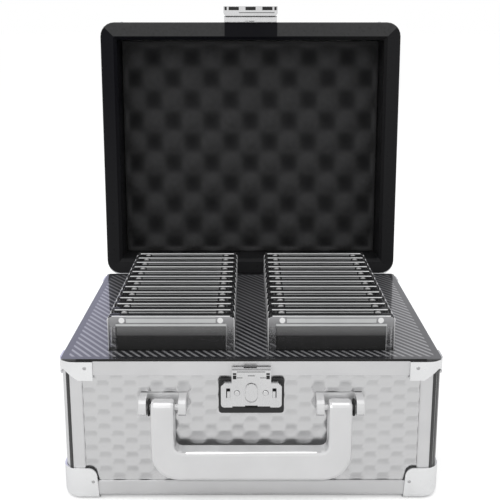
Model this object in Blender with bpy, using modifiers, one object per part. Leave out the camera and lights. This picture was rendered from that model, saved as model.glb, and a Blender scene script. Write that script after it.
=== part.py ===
"""Graded card storage case: an aluminium-framed case with its lid open on a back hinge,
two rows of card slabs standing in slotted foam under a thin deck, a carrying handle and
a thumb latch on the front. Metres, +Z up, the front faces -Y, the floor is z = 0."""

import math

import bmesh
import bpy
from mathutils import Matrix, Vector

# Clearances and working values
GAP = 0.0003
OVERRUN = 0.002
NEAR = 1e-7
WELD = 1e-6
SHARP_ANGLE = math.radians(32)

# Box frame, from the lower edge of its bottom rails to the upper edge of its top rails
BODY_WIDTH = 0.2444
BODY_DEPTH = 0.210
FRAME_HEIGHT = 0.0948
FRAME_WALL = 0.001
POST_RADIUS = 0.010
POST_FLANGE = 0.0133
TOP_RAIL = 0.0092
BOTTOM_RAIL = 0.0111
RAIL_SHELF = 0.008
FRAME_EDGE = 0.003
STRIP_WIDTH = 0.0022
STRIP_DEPTH = 0.0005
STRIP_TURN = math.radians(34)

# Panels, floor, foam and deck
PANEL_THICK = 0.004
FLOOR_THICK = 0.004
FOAM_UNDER_SLABS = 0.004
DECK_THICK = 0.0012
DECK_INSET = 0.0005
DECK_BACK_INSET = 0.004
DECK_CORNER = 0.003

# Slabs, in two rows across the case
SLAB_WIDTH = 0.0825
SLAB_THICK = 0.0064
SLAB_SHOW = 0.0236
SLAB_CORNER = 0.003
SLAB_RIM = 0.0042
SLAB_RECESS = 0.0007
SLABS_PER_ROW = 13
ROW_GAP = 0.0217
ROW_FRONT_MARGIN = 0.0161
ROW_BACK_MARGIN = 0.0214
SLOT_CLEARANCE = 0.0004

# Corner caps: short ones at the parting line, ball-cornered ones at the far corners
CAP_THICK = 0.0012
RIM_CAP_LEG = 0.021
RIM_CAP_HEIGHT = 0.0126
RIM_CAP_RISE = 0.0069
RIM_CAP_FLAT = 0.0082
BALL_CAP_LEG = 0.0208
BALL_CAP_HEIGHT = 0.0208
BALL_CAP_ROUND = 0.0055
BALL_REACH = 0.009
BALL_CAP_FLARE = 0.0014
FOOT_DROP = 0.0015

# Lid, measured closed
LID_GAP = 0.0004
LID_WALL = 0.0015
LID_TOP = 0.0015
LID_SLAB_CLEARANCE = 0.0036
LID_RAIL = 0.0095
LID_PANEL_RECESS = 0.0007
LINER_TOP_GAP = 0.003
TRIM_THICK = 0.002
TRIM_OVERHANG = 0.0014
TRIM_EDGE = 0.0008
TRIM_SLOPE = 0.001
TRIM_BAND_SIDE = 0.0090
TRIM_BAND_BACK = 0.0100
TRIM_BAND_FRONT = 0.0101
TRIM_LIP = 0.0024
TRIM_LIP_DEEP = 0.003
TRIM_CORNER = 0.001
EGG_BASE = 0.0095
EGG_SWING = 0.0056
EGG_BORDER = 0.004
EGG_PITCH_ACROSS = 0.0168
EGG_PITCH_ALONG = 0.0184
EGG_FIRST_PIT = 0.0183
EGG_STEPS = 2

# Hinge: its axis lies behind the back face and below the parting line
HINGE_OUT = 0.0022
HINGE_DROP = 0.0035
HINGE_CAP_CLEARANCE = 0.0065
HINGE_LENGTH = BODY_WIDTH - 2 * (RIM_CAP_LEG + HINGE_CAP_CLEARANCE)
KNUCKLES = 9
KNUCKLE_RADIUS = 0.0019
KNUCKLE_GAP = 0.0004
PIN_RADIUS = 0.0009
LEAF_THICK = 0.001
LEAF_WIDTH = 0.016
LEAF_CLEAR = 0.0026
OPEN_ANGLE = math.radians(92.1)

# Handle
HANDLE_ARM_CENTRE = 0.0563
HANDLE_ARM_WIDTH = 0.0152
HANDLE_THICK = 0.0126
HANDLE_PIVOT_OUT = 0.0073
HANDLE_MID_OFFSET = 0.001
HANDLE_PIVOT_DROP = 0.0282
HANDLE_BAR_DROP = 0.0477
HANDLE_BAR_TALL = 0.020
HANDLE_OUTER_RADIUS = 0.0173
HANDLE_INNER_RADIUS = 0.0042
HANDLE_EDGE = 0.0022
HANDLE_TOP = 0.0053
HANDLE_TOP_ROUND = 0.0045
AXLE_RADIUS = 0.002
AXLE_REACH = 0.006
BRACKET_WIDTH = 0.0298
BRACKET_TALL = 0.0116
BRACKET_ABOVE_PIVOT = 0.0067
BRACKET_BASE = 0.0013
BRACKET_REACH = 0.0130
BRACKET_ROUND = 0.0045
LUG_WIDTH = 0.0047

# Latch on the box: black tray, bright cover, thumb slide and hook plate
LATCH_DROP = 0.0118
TRAY_WIDTH = 0.042
TRAY_TALL = 0.0231
TRAY_CORNER = 0.002
TRAY_PROUD = 0.0008
COVER_WIDTH = 0.0387
COVER_LIFT = 0.0058
COVER_FRONT = 0.0055
COVER_WALL = 0.001
COVER_CHAMFER = 0.0022
COVER_SINK = 0.0009
HEAD_WIDTH = 0.025
HEAD_TALL = 0.0086
THUMB_WIDTH = 0.0072
THUMB_TALL = 0.0112
THUMB_PROUD = 0.0009
THUMB_WINDOW_CLEARANCE = 0.0005
THUMB_LIFT = 0.0110
THUMB_TRAVEL = 0.0016
THUMB_PLATE = 0.0007
THUMB_PIN_RADIUS = 0.001
HOOK_TRAVEL = 0.0028
HOOK_THICK = 0.0012
HOOK_OUT = 0.0020
HOOK_BODY_HALF = 0.0105
HOOK_BODY_TALL = 0.0112
HOOK_UPRIGHT_LEFT = 0.0111
HOOK_UPRIGHT_WIDE = 0.0024
HOOK_NOSE = 0.0033
HOOK_NOSE_TALL = 0.0026
HOOK_TOP_CLEARANCE = 0.0009
HOOK_SLOT_LEFT = 0.0160
HOOK_SLOT_WIDE = 0.0026
HOOK_SLOT_TALL = 0.0065

# Catch on the lid
CATCH_WIDTH = 0.0442
CATCH_TALL = 0.0231
CATCH_DROP = 0.0036
CATCH_PLATE = 0.0052
CATCH_PLATE_WIDTH = 0.0432
CATCH_PLATE_DROP = 0.0008
CATCH_GROOVE = 0.0009
CATCH_GROOVE_DEPTH = 0.0015
CATCH_REACH = 0.014
CATCH_WINDOW_PITCH = 0.0137
CATCH_WINDOW_WIDE = 0.0083
CATCH_END_WINDOW = 0.0203
CATCH_END_WIDE = 0.0018
CATCH_WINDOW_LOW = 0.0108
CATCH_WINDOW_HIGH = 0.0135
CATCH_WINDOW_DEEP = 0.010
CATCH_CORNER = 0.0028
TONGUE_LEFT = 0.001
TONGUE_RIGHT = 0.003
TONGUE_NOSE = 0.0034
TONGUE_NOSE_TALL = 0.003
TONGUE_SLOT_CLEARANCE = 0.0005
TONGUE_HOOK_CLEARANCE = 0.0004

# Heights, worked out from the sizes above
FRAME_LOW = FOOT_DROP
FRAME_HIGH = FRAME_LOW + FRAME_HEIGHT
INNER_LOW = FRAME_LOW + FRAME_WALL
INNER_HIGH = FRAME_HIGH - FRAME_WALL
FLOOR_LOW = INNER_LOW + GAP
FOAM_LOW = FLOOR_LOW + FLOOR_THICK + GAP
FOAM_HIGH = INNER_HIGH - GAP
DECK_LOW = FRAME_HIGH + GAP
DECK_HIGH = DECK_LOW + DECK_THICK
SLOT_LOW = FOAM_LOW + FOAM_UNDER_SLABS
SLAB_LOW = SLOT_LOW + GAP
SLAB_TALL = DECK_HIGH + SLAB_SHOW - SLAB_LOW
RIM_HEIGHT = DECK_HIGH + LID_GAP
HINGE_HEIGHT = FRAME_HIGH - HINGE_DROP
TRAY_HIGH = FRAME_HIGH - LATCH_DROP
TRAY_LOW = TRAY_HIGH - TRAY_TALL
COVER_LOW = TRAY_LOW + COVER_LIFT
HEAD_HIGH = TRAY_HIGH + HEAD_TALL
THUMB_LOW = TRAY_LOW + THUMB_LIFT
HANDLE_PIVOT = FRAME_HIGH - HANDLE_PIVOT_DROP
LID_CLEAR = SLAB_SHOW + LID_SLAB_CLEARANCE
LID_HEIGHT = LID_CLEAR + 2 * EGG_SWING + EGG_BASE + GAP + LID_TOP

# Lid frame: its origin is on the hinge axis, and its pieces are modelled closed
LID_LOW = RIM_HEIGHT - HINGE_HEIGHT
LID_HIGH = LID_LOW + LID_HEIGHT
LID_BACK = -HINGE_OUT
LID_FRONT = LID_BACK - BODY_DEPTH
CAP_PROUD = GAP + CAP_THICK
SHELL_LOW = LID_LOW + TRIM_THICK + GAP
LID_REACH = (LID_HIGH + CAP_PROUD) * math.sin(OPEN_ANGLE) + (
    LID_FRONT - CAP_PROUD
) * math.cos(OPEN_ANGLE)
HANDLE_FRONT = HANDLE_PIVOT_OUT + HANDLE_MID_OFFSET + HANDLE_THICK / 2

# The origin is the middle of the whole open case, on the floor
FRONT = (HANDLE_FRONT - BODY_DEPTH - HINGE_OUT - LID_REACH) / 2
BACK = FRONT + BODY_DEPTH
LEFT = -BODY_WIDTH / 2
RIGHT = BODY_WIDTH / 2
PANEL_FACE = FRAME_WALL + GAP

ARC_STEPS = 6
ROUND_SIDES = 12
SPHERE_SEGMENTS = 36
QUARTER = math.pi / 2


def clear_scene():
    for obj in list(bpy.data.objects):
        bpy.data.objects.remove(obj, do_unlink=True)


def new_collection(name):
    collection = bpy.data.collections.new(name)
    bpy.context.scene.collection.children.link(collection)
    return collection


def material(name, colour, roughness, metallic=0.0, alpha=1.0):
    made = bpy.data.materials.new(name)
    made.use_nodes = True
    shader = made.node_tree.nodes["Principled BSDF"]
    shader.inputs["Base Color"].default_value = (*colour, 1.0)
    shader.inputs["Roughness"].default_value = roughness
    shader.inputs["Metallic"].default_value = metallic
    shader.inputs["Alpha"].default_value = alpha
    made.diffuse_color = (*colour, alpha)
    return made


def object_of(bm, name):
    """A mesh object in the cutters' collection, where each shape starts."""
    bmesh.ops.recalc_face_normals(bm, faces=bm.faces)
    mesh = bpy.data.meshes.new(name)
    bm.to_mesh(mesh)
    bm.free()
    obj = bpy.data.objects.new(name, mesh)
    obj.hide_render = True
    obj.display_type = "WIRE"
    CUTTERS.objects.link(obj)
    return obj


def corner_edges(bm, low, high, key):
    """The box edges that key names: - or + for a low or high side, | for the way it runs."""
    along = key.index("|")
    found = []
    for edge in bm.edges:
        ends = [v.co for v in edge.verts]
        if abs(ends[0][along] - ends[1][along]) < NEAR:
            continue
        sides = [(low if mark == "-" else high) for mark in key]
        fits = all(
            abs(end[axis] - sides[axis][axis]) < NEAR
            for axis in range(3)
            if axis != along
            for end in ends
        )
        if fits:
            found.append(edge)
    return found


def box(name, low, high, rounds=(), steps=ARC_STEPS):
    """A box between two corners, with some edges rounded: rounds is (radius, keys) pairs."""
    bm = bmesh.new()
    bmesh.ops.create_cube(bm, size=1.0)
    for vert in bm.verts:
        for axis in range(3):
            vert.co[axis] = high[axis] if vert.co[axis] > 0 else low[axis]
    for radius, keys in rounds:
        edges = [e for key in keys for e in corner_edges(bm, low, high, key)]
        bmesh.ops.bevel(
            bm,
            geom=edges,
            offset=radius,
            segments=steps,
            profile=0.5,
            affect="EDGES",
            clamp_overlap=False,
        )
    return object_of(bm, name)


def prism_block(name, low, high, radius, steps=ARC_STEPS):
    """A box with its four upright edges rounded."""
    return box(name, low, high, [(radius, ["--|", "+-|", "-+|", "++|"])], steps)


def round_rim(obj, height, radius):
    """Rounds the loop of edges at an object's top or bottom."""
    bm = bmesh.new()
    bm.from_mesh(obj.data)
    loop = [e for e in bm.edges if all(abs(v.co.z - height) < NEAR for v in e.verts)]
    bmesh.ops.bevel(bm, geom=loop, offset=radius, segments=3, profile=0.5, affect="EDGES")
    bm.to_mesh(obj.data)
    bm.free()


def cylinder(name, centre, radius, length, axis, sides=ROUND_SIDES, top_radius=None):
    bm = bmesh.new()
    bmesh.ops.create_cone(
        bm,
        cap_ends=True,
        segments=sides,
        radius1=radius,
        radius2=radius if top_radius is None else top_radius,
        depth=length,
    )
    turn = Vector((0, 0, 1)).rotation_difference(Vector(axis)).to_matrix().to_4x4()
    bmesh.ops.transform(bm, matrix=Matrix.Translation(centre) @ turn, verts=bm.verts)
    return object_of(bm, name)


def sphere(name, centre, radius, segments=SPHERE_SEGMENTS):
    bm = bmesh.new()
    bmesh.ops.create_uvsphere(bm, u_segments=segments, v_segments=segments // 2, radius=radius)
    bmesh.ops.translate(bm, vec=centre, verts=bm.verts)
    return object_of(bm, name)


def arc(centre, radius, start, sweep, steps=ARC_STEPS):
    """Points on an arc in degrees, both ends included."""
    points = []
    for step in range(steps + 1):
        angle = math.radians(start + sweep * step / steps)
        points.append(
            (centre[0] + radius * math.cos(angle), centre[1] + radius * math.sin(angle))
        )
    return points


def rounded_outline(low, high, radius, steps=ARC_STEPS):
    (x0, y0), (x1, y1) = low, high
    r = radius
    return (
        arc((x0 + r, y0 + r), r, 180, 90, steps)
        + arc((x1 - r, y0 + r), r, 270, 90, steps)
        + arc((x1 - r, y1 - r), r, 0, 90, steps)
        + arc((x0 + r, y1 - r), r, 90, 90, steps)
    )


def plate(name, outlines, low, high, across):
    """A flat outline, with any holes, extruded from low to high along the axis across."""
    curve = bpy.data.curves.new(name, "CURVE")
    curve.dimensions = "2D"
    curve.fill_mode = "BOTH"
    curve.extrude = (high - low) / 2
    for outline in outlines:
        spline = curve.splines.new("POLY")
        spline.points.add(len(outline) - 1)
        for point, (u, v) in zip(spline.points, outline):
            point.co = (u, v, 0, 1)
        spline.use_cyclic_u = True
    drawn = bpy.data.objects.new(name, curve)
    CUTTERS.objects.link(drawn)
    bpy.context.view_layer.update()
    graph = bpy.context.evaluated_depsgraph_get()
    mesh = bpy.data.meshes.new_from_object(drawn.evaluated_get(graph))
    bpy.data.objects.remove(drawn, do_unlink=True)
    bm = bmesh.new()
    bm.from_mesh(mesh)
    bmesh.ops.remove_doubles(bm, verts=bm.verts, dist=WELD)
    middle = (low + high) / 2
    for vert in bm.verts:
        u, v, w = vert.co
        if across == 2:
            vert.co = (u, v, middle + w)
        elif across == 1:
            vert.co = (u, middle + w, v)
        else:
            vert.co = (middle + w, u, v)
    return object_of(bm, name)


def combine(obj, others, operation):
    for other in others:
        modifier = obj.modifiers.new(other.name, "BOOLEAN")
        modifier.operation = operation
        modifier.object = other
    bpy.context.view_layer.update()
    graph = bpy.context.evaluated_depsgraph_get()
    obj.data = bpy.data.meshes.new_from_object(obj.evaluated_get(graph))
    obj.modifiers.clear()
    for other in others:
        bpy.data.objects.remove(other, do_unlink=True)
    return obj


def cut(obj, *others):
    return combine(obj, others, "DIFFERENCE")


def join(obj, *others):
    return combine(obj, others, "UNION")


def keep_inside(obj, other):
    return combine(obj, [other], "INTERSECT")


def show(obj, look, parent, name=None):
    """Moves a finished shape into the case, shaded smooth where it is round."""
    obj.name = name or obj.name
    obj.data.name = obj.name
    obj.data.materials.clear()
    obj.data.materials.append(look)
    obj.data.shade_smooth()
    obj.data.set_sharp_from_angle(angle=SHARP_ANGLE)
    obj.hide_render = False
    obj.display_type = "TEXTURED"
    CUTTERS.objects.unlink(obj)
    CASE.objects.link(obj)
    obj.parent = parent
    return obj


def copy_of(obj, name, parent, matrix):
    """Another object on the same mesh, placed by a matrix under its parent."""
    twin = bpy.data.objects.new(name, obj.data)
    CASE.objects.link(twin)
    twin.parent = parent
    twin.matrix_local = matrix
    return twin


def empty(name, location, parent=None):
    made = bpy.data.objects.new(name, None)
    made.empty_display_size = POST_RADIUS
    CASE.objects.link(made)
    made.parent = parent
    made.location = location
    return made


def corner_places(back, height):
    """Matrices for the four corners: a corner piece's body lies towards its +X and +Y."""
    front = back - BODY_DEPTH
    places = {}
    for turns, (name, x, y) in enumerate(
        (
            ("front_left", LEFT, front),
            ("front_right", RIGHT, front),
            ("back_right", RIGHT, back),
            ("back_left", LEFT, back),
        )
    ):
        turn = Matrix.Rotation(turns * QUARTER, 4, "Z")
        places[name] = Matrix.Translation((x, y, height)) @ turn
    return places


def upside_down():
    """Half a turn about the corner's diagonal, which swaps up and down but not inside and out."""
    return Matrix.Rotation(math.pi, 4, Vector((1, 1, 0)))


def frame_windows(back, low, high, depth):
    """Cutters for the panel openings between the posts and the rails."""
    front = back - BODY_DEPTH
    x0, x1 = LEFT + POST_FLANGE, RIGHT - POST_FLANGE
    y0, y1 = front + POST_FLANGE, back - POST_FLANGE
    return [
        box("window_front", (x0, front - OVERRUN, low), (x1, front + depth, high)),
        box("window_back", (x0, back - depth, low), (x1, back + OVERRUN, high)),
        box("window_left", (LEFT - OVERRUN, y0, low), (LEFT + depth, y1, high)),
        box("window_right", (RIGHT - depth, y0, low), (RIGHT + OVERRUN, y1, high)),
    ]


def body_frame():
    frame = prism_block(
        "body_frame", (LEFT, FRONT, FRAME_LOW), (RIGHT, BACK, FRAME_HIGH), POST_RADIUS
    )
    round_rim(frame, FRAME_LOW, FRAME_EDGE)
    wall = FRAME_WALL
    cavity = prism_block(
        "cavity",
        (LEFT + wall, FRONT + wall, INNER_LOW),
        (RIGHT - wall, BACK - wall, INNER_HIGH),
        POST_RADIUS - wall,
    )
    shelf = RAIL_SHELF
    through = box(
        "through",
        (LEFT + shelf, FRONT + shelf, FRAME_LOW - OVERRUN),
        (RIGHT - shelf, BACK - shelf, FRAME_HIGH + OVERRUN),
    )
    cut(frame, cavity)
    cut(frame, through)
    window_depth = wall + OVERRUN
    low, high = FRAME_LOW + BOTTOM_RAIL, FRAME_HIGH - TOP_RAIL
    cut(frame, *frame_windows(BACK, low, high, window_depth))
    cut(frame, *strip_grooves())
    return show(frame, ALUMINIUM, ROOT)


def strip_grooves():
    """Upright grooves on the round of each post, where a black strip is let in."""
    half = STRIP_WIDTH / 2
    axis = Matrix.Translation((POST_RADIUS, POST_RADIUS, 0))
    grooves = []
    for name, place in corner_places(BACK, FRAME_LOW).items():
        groove = box(
            "groove_" + name,
            (-half, -POST_RADIUS - OVERRUN, BALL_CAP_HEIGHT),
            (half, STRIP_DEPTH - POST_RADIUS, FRAME_HEIGHT - TOP_RAIL / 2),
        )
        # A corner's local -Y faces the front or back at two corners, and a side at the others
        faces_end = name in ("front_left", "back_right")
        turn = STRIP_TURN if faces_end else QUARTER - STRIP_TURN
        groove.data.transform(place @ axis @ Matrix.Rotation(-turn, 4, "Z"))
        grooves.append(groove)
    return grooves


def body_panels():
    """The four wall panels, each behind the frame's flanges."""
    low, high = INNER_LOW + GAP, INNER_HIGH - GAP
    face = PANEL_FACE
    deep = face + PANEL_THICK
    end = POST_RADIUS + GAP
    x0, x1 = LEFT + end, RIGHT - end
    y0, y1 = FRONT + end, BACK - end
    spans = {
        "body_front_panel": ((x0, FRONT + face, low), (x1, FRONT + deep, high)),
        "body_back_panel": ((x0, BACK - deep, low), (x1, BACK - face, high)),
        "body_left_panel": ((LEFT + face, y0, low), (LEFT + deep, y1, high)),
        "body_right_panel": ((RIGHT - deep, y0, low), (RIGHT - face, y1, high)),
    }
    for name, (corner, opposite) in spans.items():
        show(box(name, corner, opposite), PANEL, ROOT)


def inside_corners(low, high):
    inset = PANEL_FACE + PANEL_THICK + GAP
    return (LEFT + inset, FRONT + inset, low), (RIGHT - inset, BACK - inset, high)


def floor_panel():
    show(box("body_floor_panel", *inside_corners(FLOOR_LOW, FLOOR_LOW + FLOOR_THICK)), PANEL, ROOT)


def slab_places():
    """Name and centre (x, y) of each slab, front to back in each row."""
    row_centre = (SLAB_WIDTH + ROW_GAP) / 2
    span = BODY_DEPTH - ROW_FRONT_MARGIN - ROW_BACK_MARGIN - SLAB_THICK
    pitch = span / (SLABS_PER_ROW - 1)
    first = FRONT + ROW_FRONT_MARGIN + SLAB_THICK / 2
    places = {}
    for side, x in (("left", -row_centre), ("right", row_centre)):
        for index in range(SLABS_PER_ROW):
            places[f"slab_{side}_{index + 1:02d}"] = (x, first + index * pitch)
    return places


def slot_cutters(low, high):
    half_x = SLAB_WIDTH / 2 + SLOT_CLEARANCE
    half_y = SLAB_THICK / 2 + SLOT_CLEARANCE
    return [
        box("slot_" + name, (x - half_x, y - half_y, low), (x + half_x, y + half_y, high))
        for name, (x, y) in slab_places().items()
    ]


def foam_insert():
    foam = box("foam_insert", *inside_corners(FOAM_LOW, FOAM_HIGH))
    cut(foam, *slot_cutters(SLOT_LOW, FOAM_HIGH + OVERRUN))
    show(foam, FOAM, ROOT)


def deck_panel():
    inset = DECK_INSET
    deck = prism_block(
        "deck_panel",
        (LEFT + inset, FRONT + inset, DECK_LOW),
        (RIGHT - inset, BACK - DECK_BACK_INSET, DECK_HIGH),
        DECK_CORNER,
        steps=3,
    )
    cut(deck, *slot_cutters(DECK_LOW - OVERRUN, DECK_HIGH + OVERRUN))
    show(deck, CARBON, ROOT)


def slabs():
    """One slab mesh with a raised rim, shared by every slab."""
    half = SLAB_WIDTH / 2
    slab = plate(
        "slab",
        [rounded_outline((-half, 0), (half, SLAB_TALL), SLAB_CORNER, steps=3)],
        -SLAB_THICK / 2,
        SLAB_THICK / 2,
        across=1,
    )
    inner = half - SLAB_RIM
    face = SLAB_THICK / 2
    bottom, top = SLAB_RIM, SLAB_TALL - SLAB_RIM
    cut(
        slab,
        box("front_recess", (-inner, -face - OVERRUN, bottom), (inner, SLAB_RECESS - face, top)),
        box("back_recess", (-inner, face - SLAB_RECESS, bottom), (inner, face + OVERRUN, top)),
    )
    places = slab_places()
    first = next(iter(places))
    shown = show(slab, CLEAR, ROOT, first)
    shown.location = (*places[first], SLAB_LOW)
    for name, (x, y) in places.items():
        if name != first:
            copy_of(shown, name, ROOT, Matrix.Translation((x, y, SLAB_LOW)))


def band_outline(leg, inner, outer):
    """An L-shaped band round a post, in plan: the corner's sharp point is the origin."""
    centre = (POST_RADIUS, POST_RADIUS)
    outside = arc(centre, POST_RADIUS + outer, 270, -90)
    inside = arc(centre, POST_RADIUS + inner, 180, 90)
    return [(leg, -outer), *outside, (-outer, leg), (-inner, leg), *inside, (leg, -inner)]


def rim_cap():
    """A parting-line cap: its top is z = 0, and its lower edge slants up to the corner."""
    reach = RIM_CAP_LEG
    band = band_outline(reach, GAP, CAP_PROUD)
    cap = plate("rim_cap", [band], -RIM_CAP_HEIGHT, 0, across=2)
    middle = POST_RADIUS * (1 - math.sqrt(0.5))
    base = reach - RIM_CAP_FLAT - middle
    slope = RIM_CAP_RISE / (base - CAP_THICK)
    wide = base + OVERRUN / slope
    cone = cylinder(
        "slant",
        (middle, middle, (RIM_CAP_RISE - OVERRUN) / 2 - RIM_CAP_HEIGHT),
        wide,
        RIM_CAP_RISE + OVERRUN,
        (0, 0, 1),
        sides=ROUND_SIDES * 2,
        top_radius=CAP_THICK,
    )
    return cut(cap, cone)


def ball_cap_block(name, offset):
    """The outside of a ball cap, at an offset from the frame, with a sphere at its corner."""
    low, span = -offset, 2 * BALL_CAP_LEG
    block = box(name, (low,) * 3, (span,) * 3, [(POST_RADIUS + offset, ["--|"])])
    round_rim(block, low, FRAME_EDGE + offset)
    extra = 0 if offset > GAP else OVERRUN
    leg, high = BALL_CAP_LEG + extra, BALL_CAP_HEIGHT + extra
    outside = low - OVERRUN
    rounds = [(BALL_CAP_ROUND, ["|++", "+|+"])]
    legs = box(name + "_legs", (outside,) * 3, (leg, leg, high), rounds)
    for vert in legs.data.vertices:
        flare = BALL_CAP_FLARE * (1 - vert.co.z / high)
        vert.co.x += flare * max(0, vert.co.x / leg)
        vert.co.y += flare * max(0, vert.co.y / leg)
    keep_inside(block, legs)
    # The sphere touches the rounded edges beside the corner, and shaves only between them
    radius = math.sqrt(2) * (BALL_REACH - FRAME_EDGE) + FRAME_EDGE + offset
    shaving = box(name + "_shaving", (outside,) * 3, (BALL_REACH,) * 3)
    cut(shaving, sphere(name + "_sphere", (BALL_REACH,) * 3, radius))
    return cut(block, shaving)


def ball_cap():
    """A foot cap: two legs, a sole and a ball corner. The corner of the frame is the origin."""
    return cut(ball_cap_block("ball_cap", CAP_PROUD), ball_cap_block("ball_cap_inside", GAP))


def body_caps():
    rim = rim_cap()
    places = corner_places(BACK, FRAME_HIGH)
    shown = show(rim, CAP, ROOT, "top_cap_front_left")
    shown.matrix_local = places["front_left"]
    for corner, place in places.items():
        if corner != "front_left":
            copy_of(shown, "top_cap_" + corner, ROOT, place)
    for corner, place in corner_places(LID_BACK, SHELL_LOW).items():
        copy_of(shown, "lid_rim_cap_" + corner, LID, place @ upside_down())
    ball = ball_cap()
    places = corner_places(BACK, FRAME_LOW)
    shown = show(ball, CAP, ROOT, "foot_cap_front_left")
    shown.matrix_local = places["front_left"]
    for corner, place in places.items():
        if corner != "front_left":
            copy_of(shown, "foot_cap_" + corner, ROOT, place)


def lid_shell():
    """The lid's tray with shallow panel recesses and ball corners, modelled closed."""
    low, high = SHELL_LOW, LID_HIGH
    shell = prism_block("lid_shell", (LEFT, LID_FRONT, low), (RIGHT, LID_BACK, high), POST_RADIUS)
    round_rim(shell, high, FRAME_EDGE)
    for corner, place in corner_places(LID_BACK, high).items():
        ball = ball_cap_block("lid_ball_" + corner, CAP_PROUD)
        ball.data.transform(place @ upside_down())
        join(shell, ball)
    depth = LID_PANEL_RECESS
    rail = LID_RAIL
    cut(shell, *frame_windows(LID_BACK, low + rail, high - rail, depth))
    flange = POST_FLANGE
    top = box(
        "window_top",
        (LEFT + flange, LID_FRONT + flange, high - depth),
        (RIGHT - flange, LID_BACK - flange, high + OVERRUN),
    )
    wall = LID_WALL
    cavity = box(
        "lid_cavity",
        (LEFT + wall, LID_FRONT + wall, low - OVERRUN),
        (RIGHT - wall, LID_BACK - wall, high - LID_TOP),
        [
            (POST_RADIUS - wall, ["--|", "+-|", "-+|", "++|"]),
        ],
    )
    cut(shell, top)
    cut(shell, cavity)
    return show(shell, ALUMINIUM, LID)


def liner_window(extra=0):
    """Two corners of the liner's opening, a little wider when extra is given."""
    side = TRIM_BAND_SIDE + TRIM_LIP - extra
    return (
        (LEFT + side, LID_FRONT + TRIM_BAND_FRONT + TRIM_LIP - extra),
        (RIGHT - side, LID_BACK - TRIM_BAND_BACK - TRIM_LIP + extra),
    )


def trim_outline(inset):
    """The trim's outer edge, which stands out past the shell except at the hinge."""
    reach = TRIM_OVERHANG - inset
    return rounded_outline(
        (LEFT - reach, LID_FRONT - reach), (RIGHT + reach, LID_BACK - inset), POST_RADIUS + reach
    )


def ring_of(name, outlines):
    """A closed ring through (outline, height) loops, each with as many points as the next."""
    bm = bmesh.new()
    loops = [[bm.verts.new((x, y, z)) for x, y in outline] for outline, z in outlines]
    for first, second in zip(loops, loops[1:] + loops[:1]):
        for index in range(len(first)):
            after = (index + 1) % len(first)
            bm.faces.new((first[index], first[after], second[after], second[index]))
    return object_of(bm, name)


def lid_liner():
    """The liner box inside the shell, with a sloping trim round its mouth that covers the rim."""
    inset = LID_WALL + GAP
    inner = rounded_outline(
        (LEFT + inset, LID_FRONT + inset), (RIGHT - inset, LID_BACK - inset), POST_RADIUS - inset
    )
    low, back = LID_LOW, LID_LOW + TRIM_THICK
    high = LID_HIGH - LID_TOP - LINER_TOP_GAP
    band = low + TRIM_SLOPE
    window = rounded_outline(*liner_window(), TRIM_CORNER)
    liner = ring_of(
        "lid_liner",
        [
            (trim_outline(0), back),
            (trim_outline(0), low + TRIM_EDGE),
            (trim_outline(TRIM_EDGE), low),
            (rounded_outline(*liner_window(TRIM_LIP), TRIM_CORNER), band),
            (window, band + TRIM_LIP_DEEP),
            (window, high),
            (inner, high),
            (inner, back),
        ],
    )
    show(liner, LINER, LID)


def egg_height(x, y):
    """Height of the convoluted foam from its middle level, from 1 at a crest to -1 in a pit."""
    along = y - LID_BACK + EGG_FIRST_PIT
    across = math.pi * x / EGG_PITCH_ACROSS
    return -math.cos(across) * math.cos(math.pi * along / EGG_PITCH_ALONG)


def lid_foam():
    """Egg-crate foam: a grid of peaks and pits, faded out to a flat border."""
    (x0, y0), (x1, y1) = liner_window()
    x0, y0, x1, y1 = x0 + GAP, y0 + GAP, x1 - GAP, y1 - GAP
    back = LID_HIGH - LID_TOP - GAP
    crest = back - EGG_BASE - EGG_SWING
    bm = bmesh.new()
    bmesh.ops.create_grid(
        bm,
        x_segments=round((x1 - x0) / EGG_PITCH_ACROSS) * EGG_STEPS,
        y_segments=round((y1 - y0) / EGG_PITCH_ALONG) * EGG_STEPS,
        size=0.5,
    )
    for vert in bm.verts:
        u, v = vert.co.x + 0.5, vert.co.y + 0.5
        x, y = x0 + (x1 - x0) * u, y0 + (y1 - y0) * v
        edge = min(x - x0, x1 - x, y - y0, y1 - y)
        fade = min(1.0, edge / EGG_BORDER)
        vert.co = (x, y, crest - EGG_SWING * fade * egg_height(x, y))
    rim = [edge for edge in bm.edges if edge.is_boundary]
    made = bmesh.ops.extrude_edge_only(bm, edges=rim)["geom"]
    for vert in (item for item in made if isinstance(item, bmesh.types.BMVert)):
        vert.co.z = back
    closing = [item for item in made if isinstance(item, bmesh.types.BMEdge)]
    bmesh.ops.contextual_create(bm, geom=closing)
    show(object_of(bm, "lid_foam"), EGG_FOAM, LID)


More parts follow.
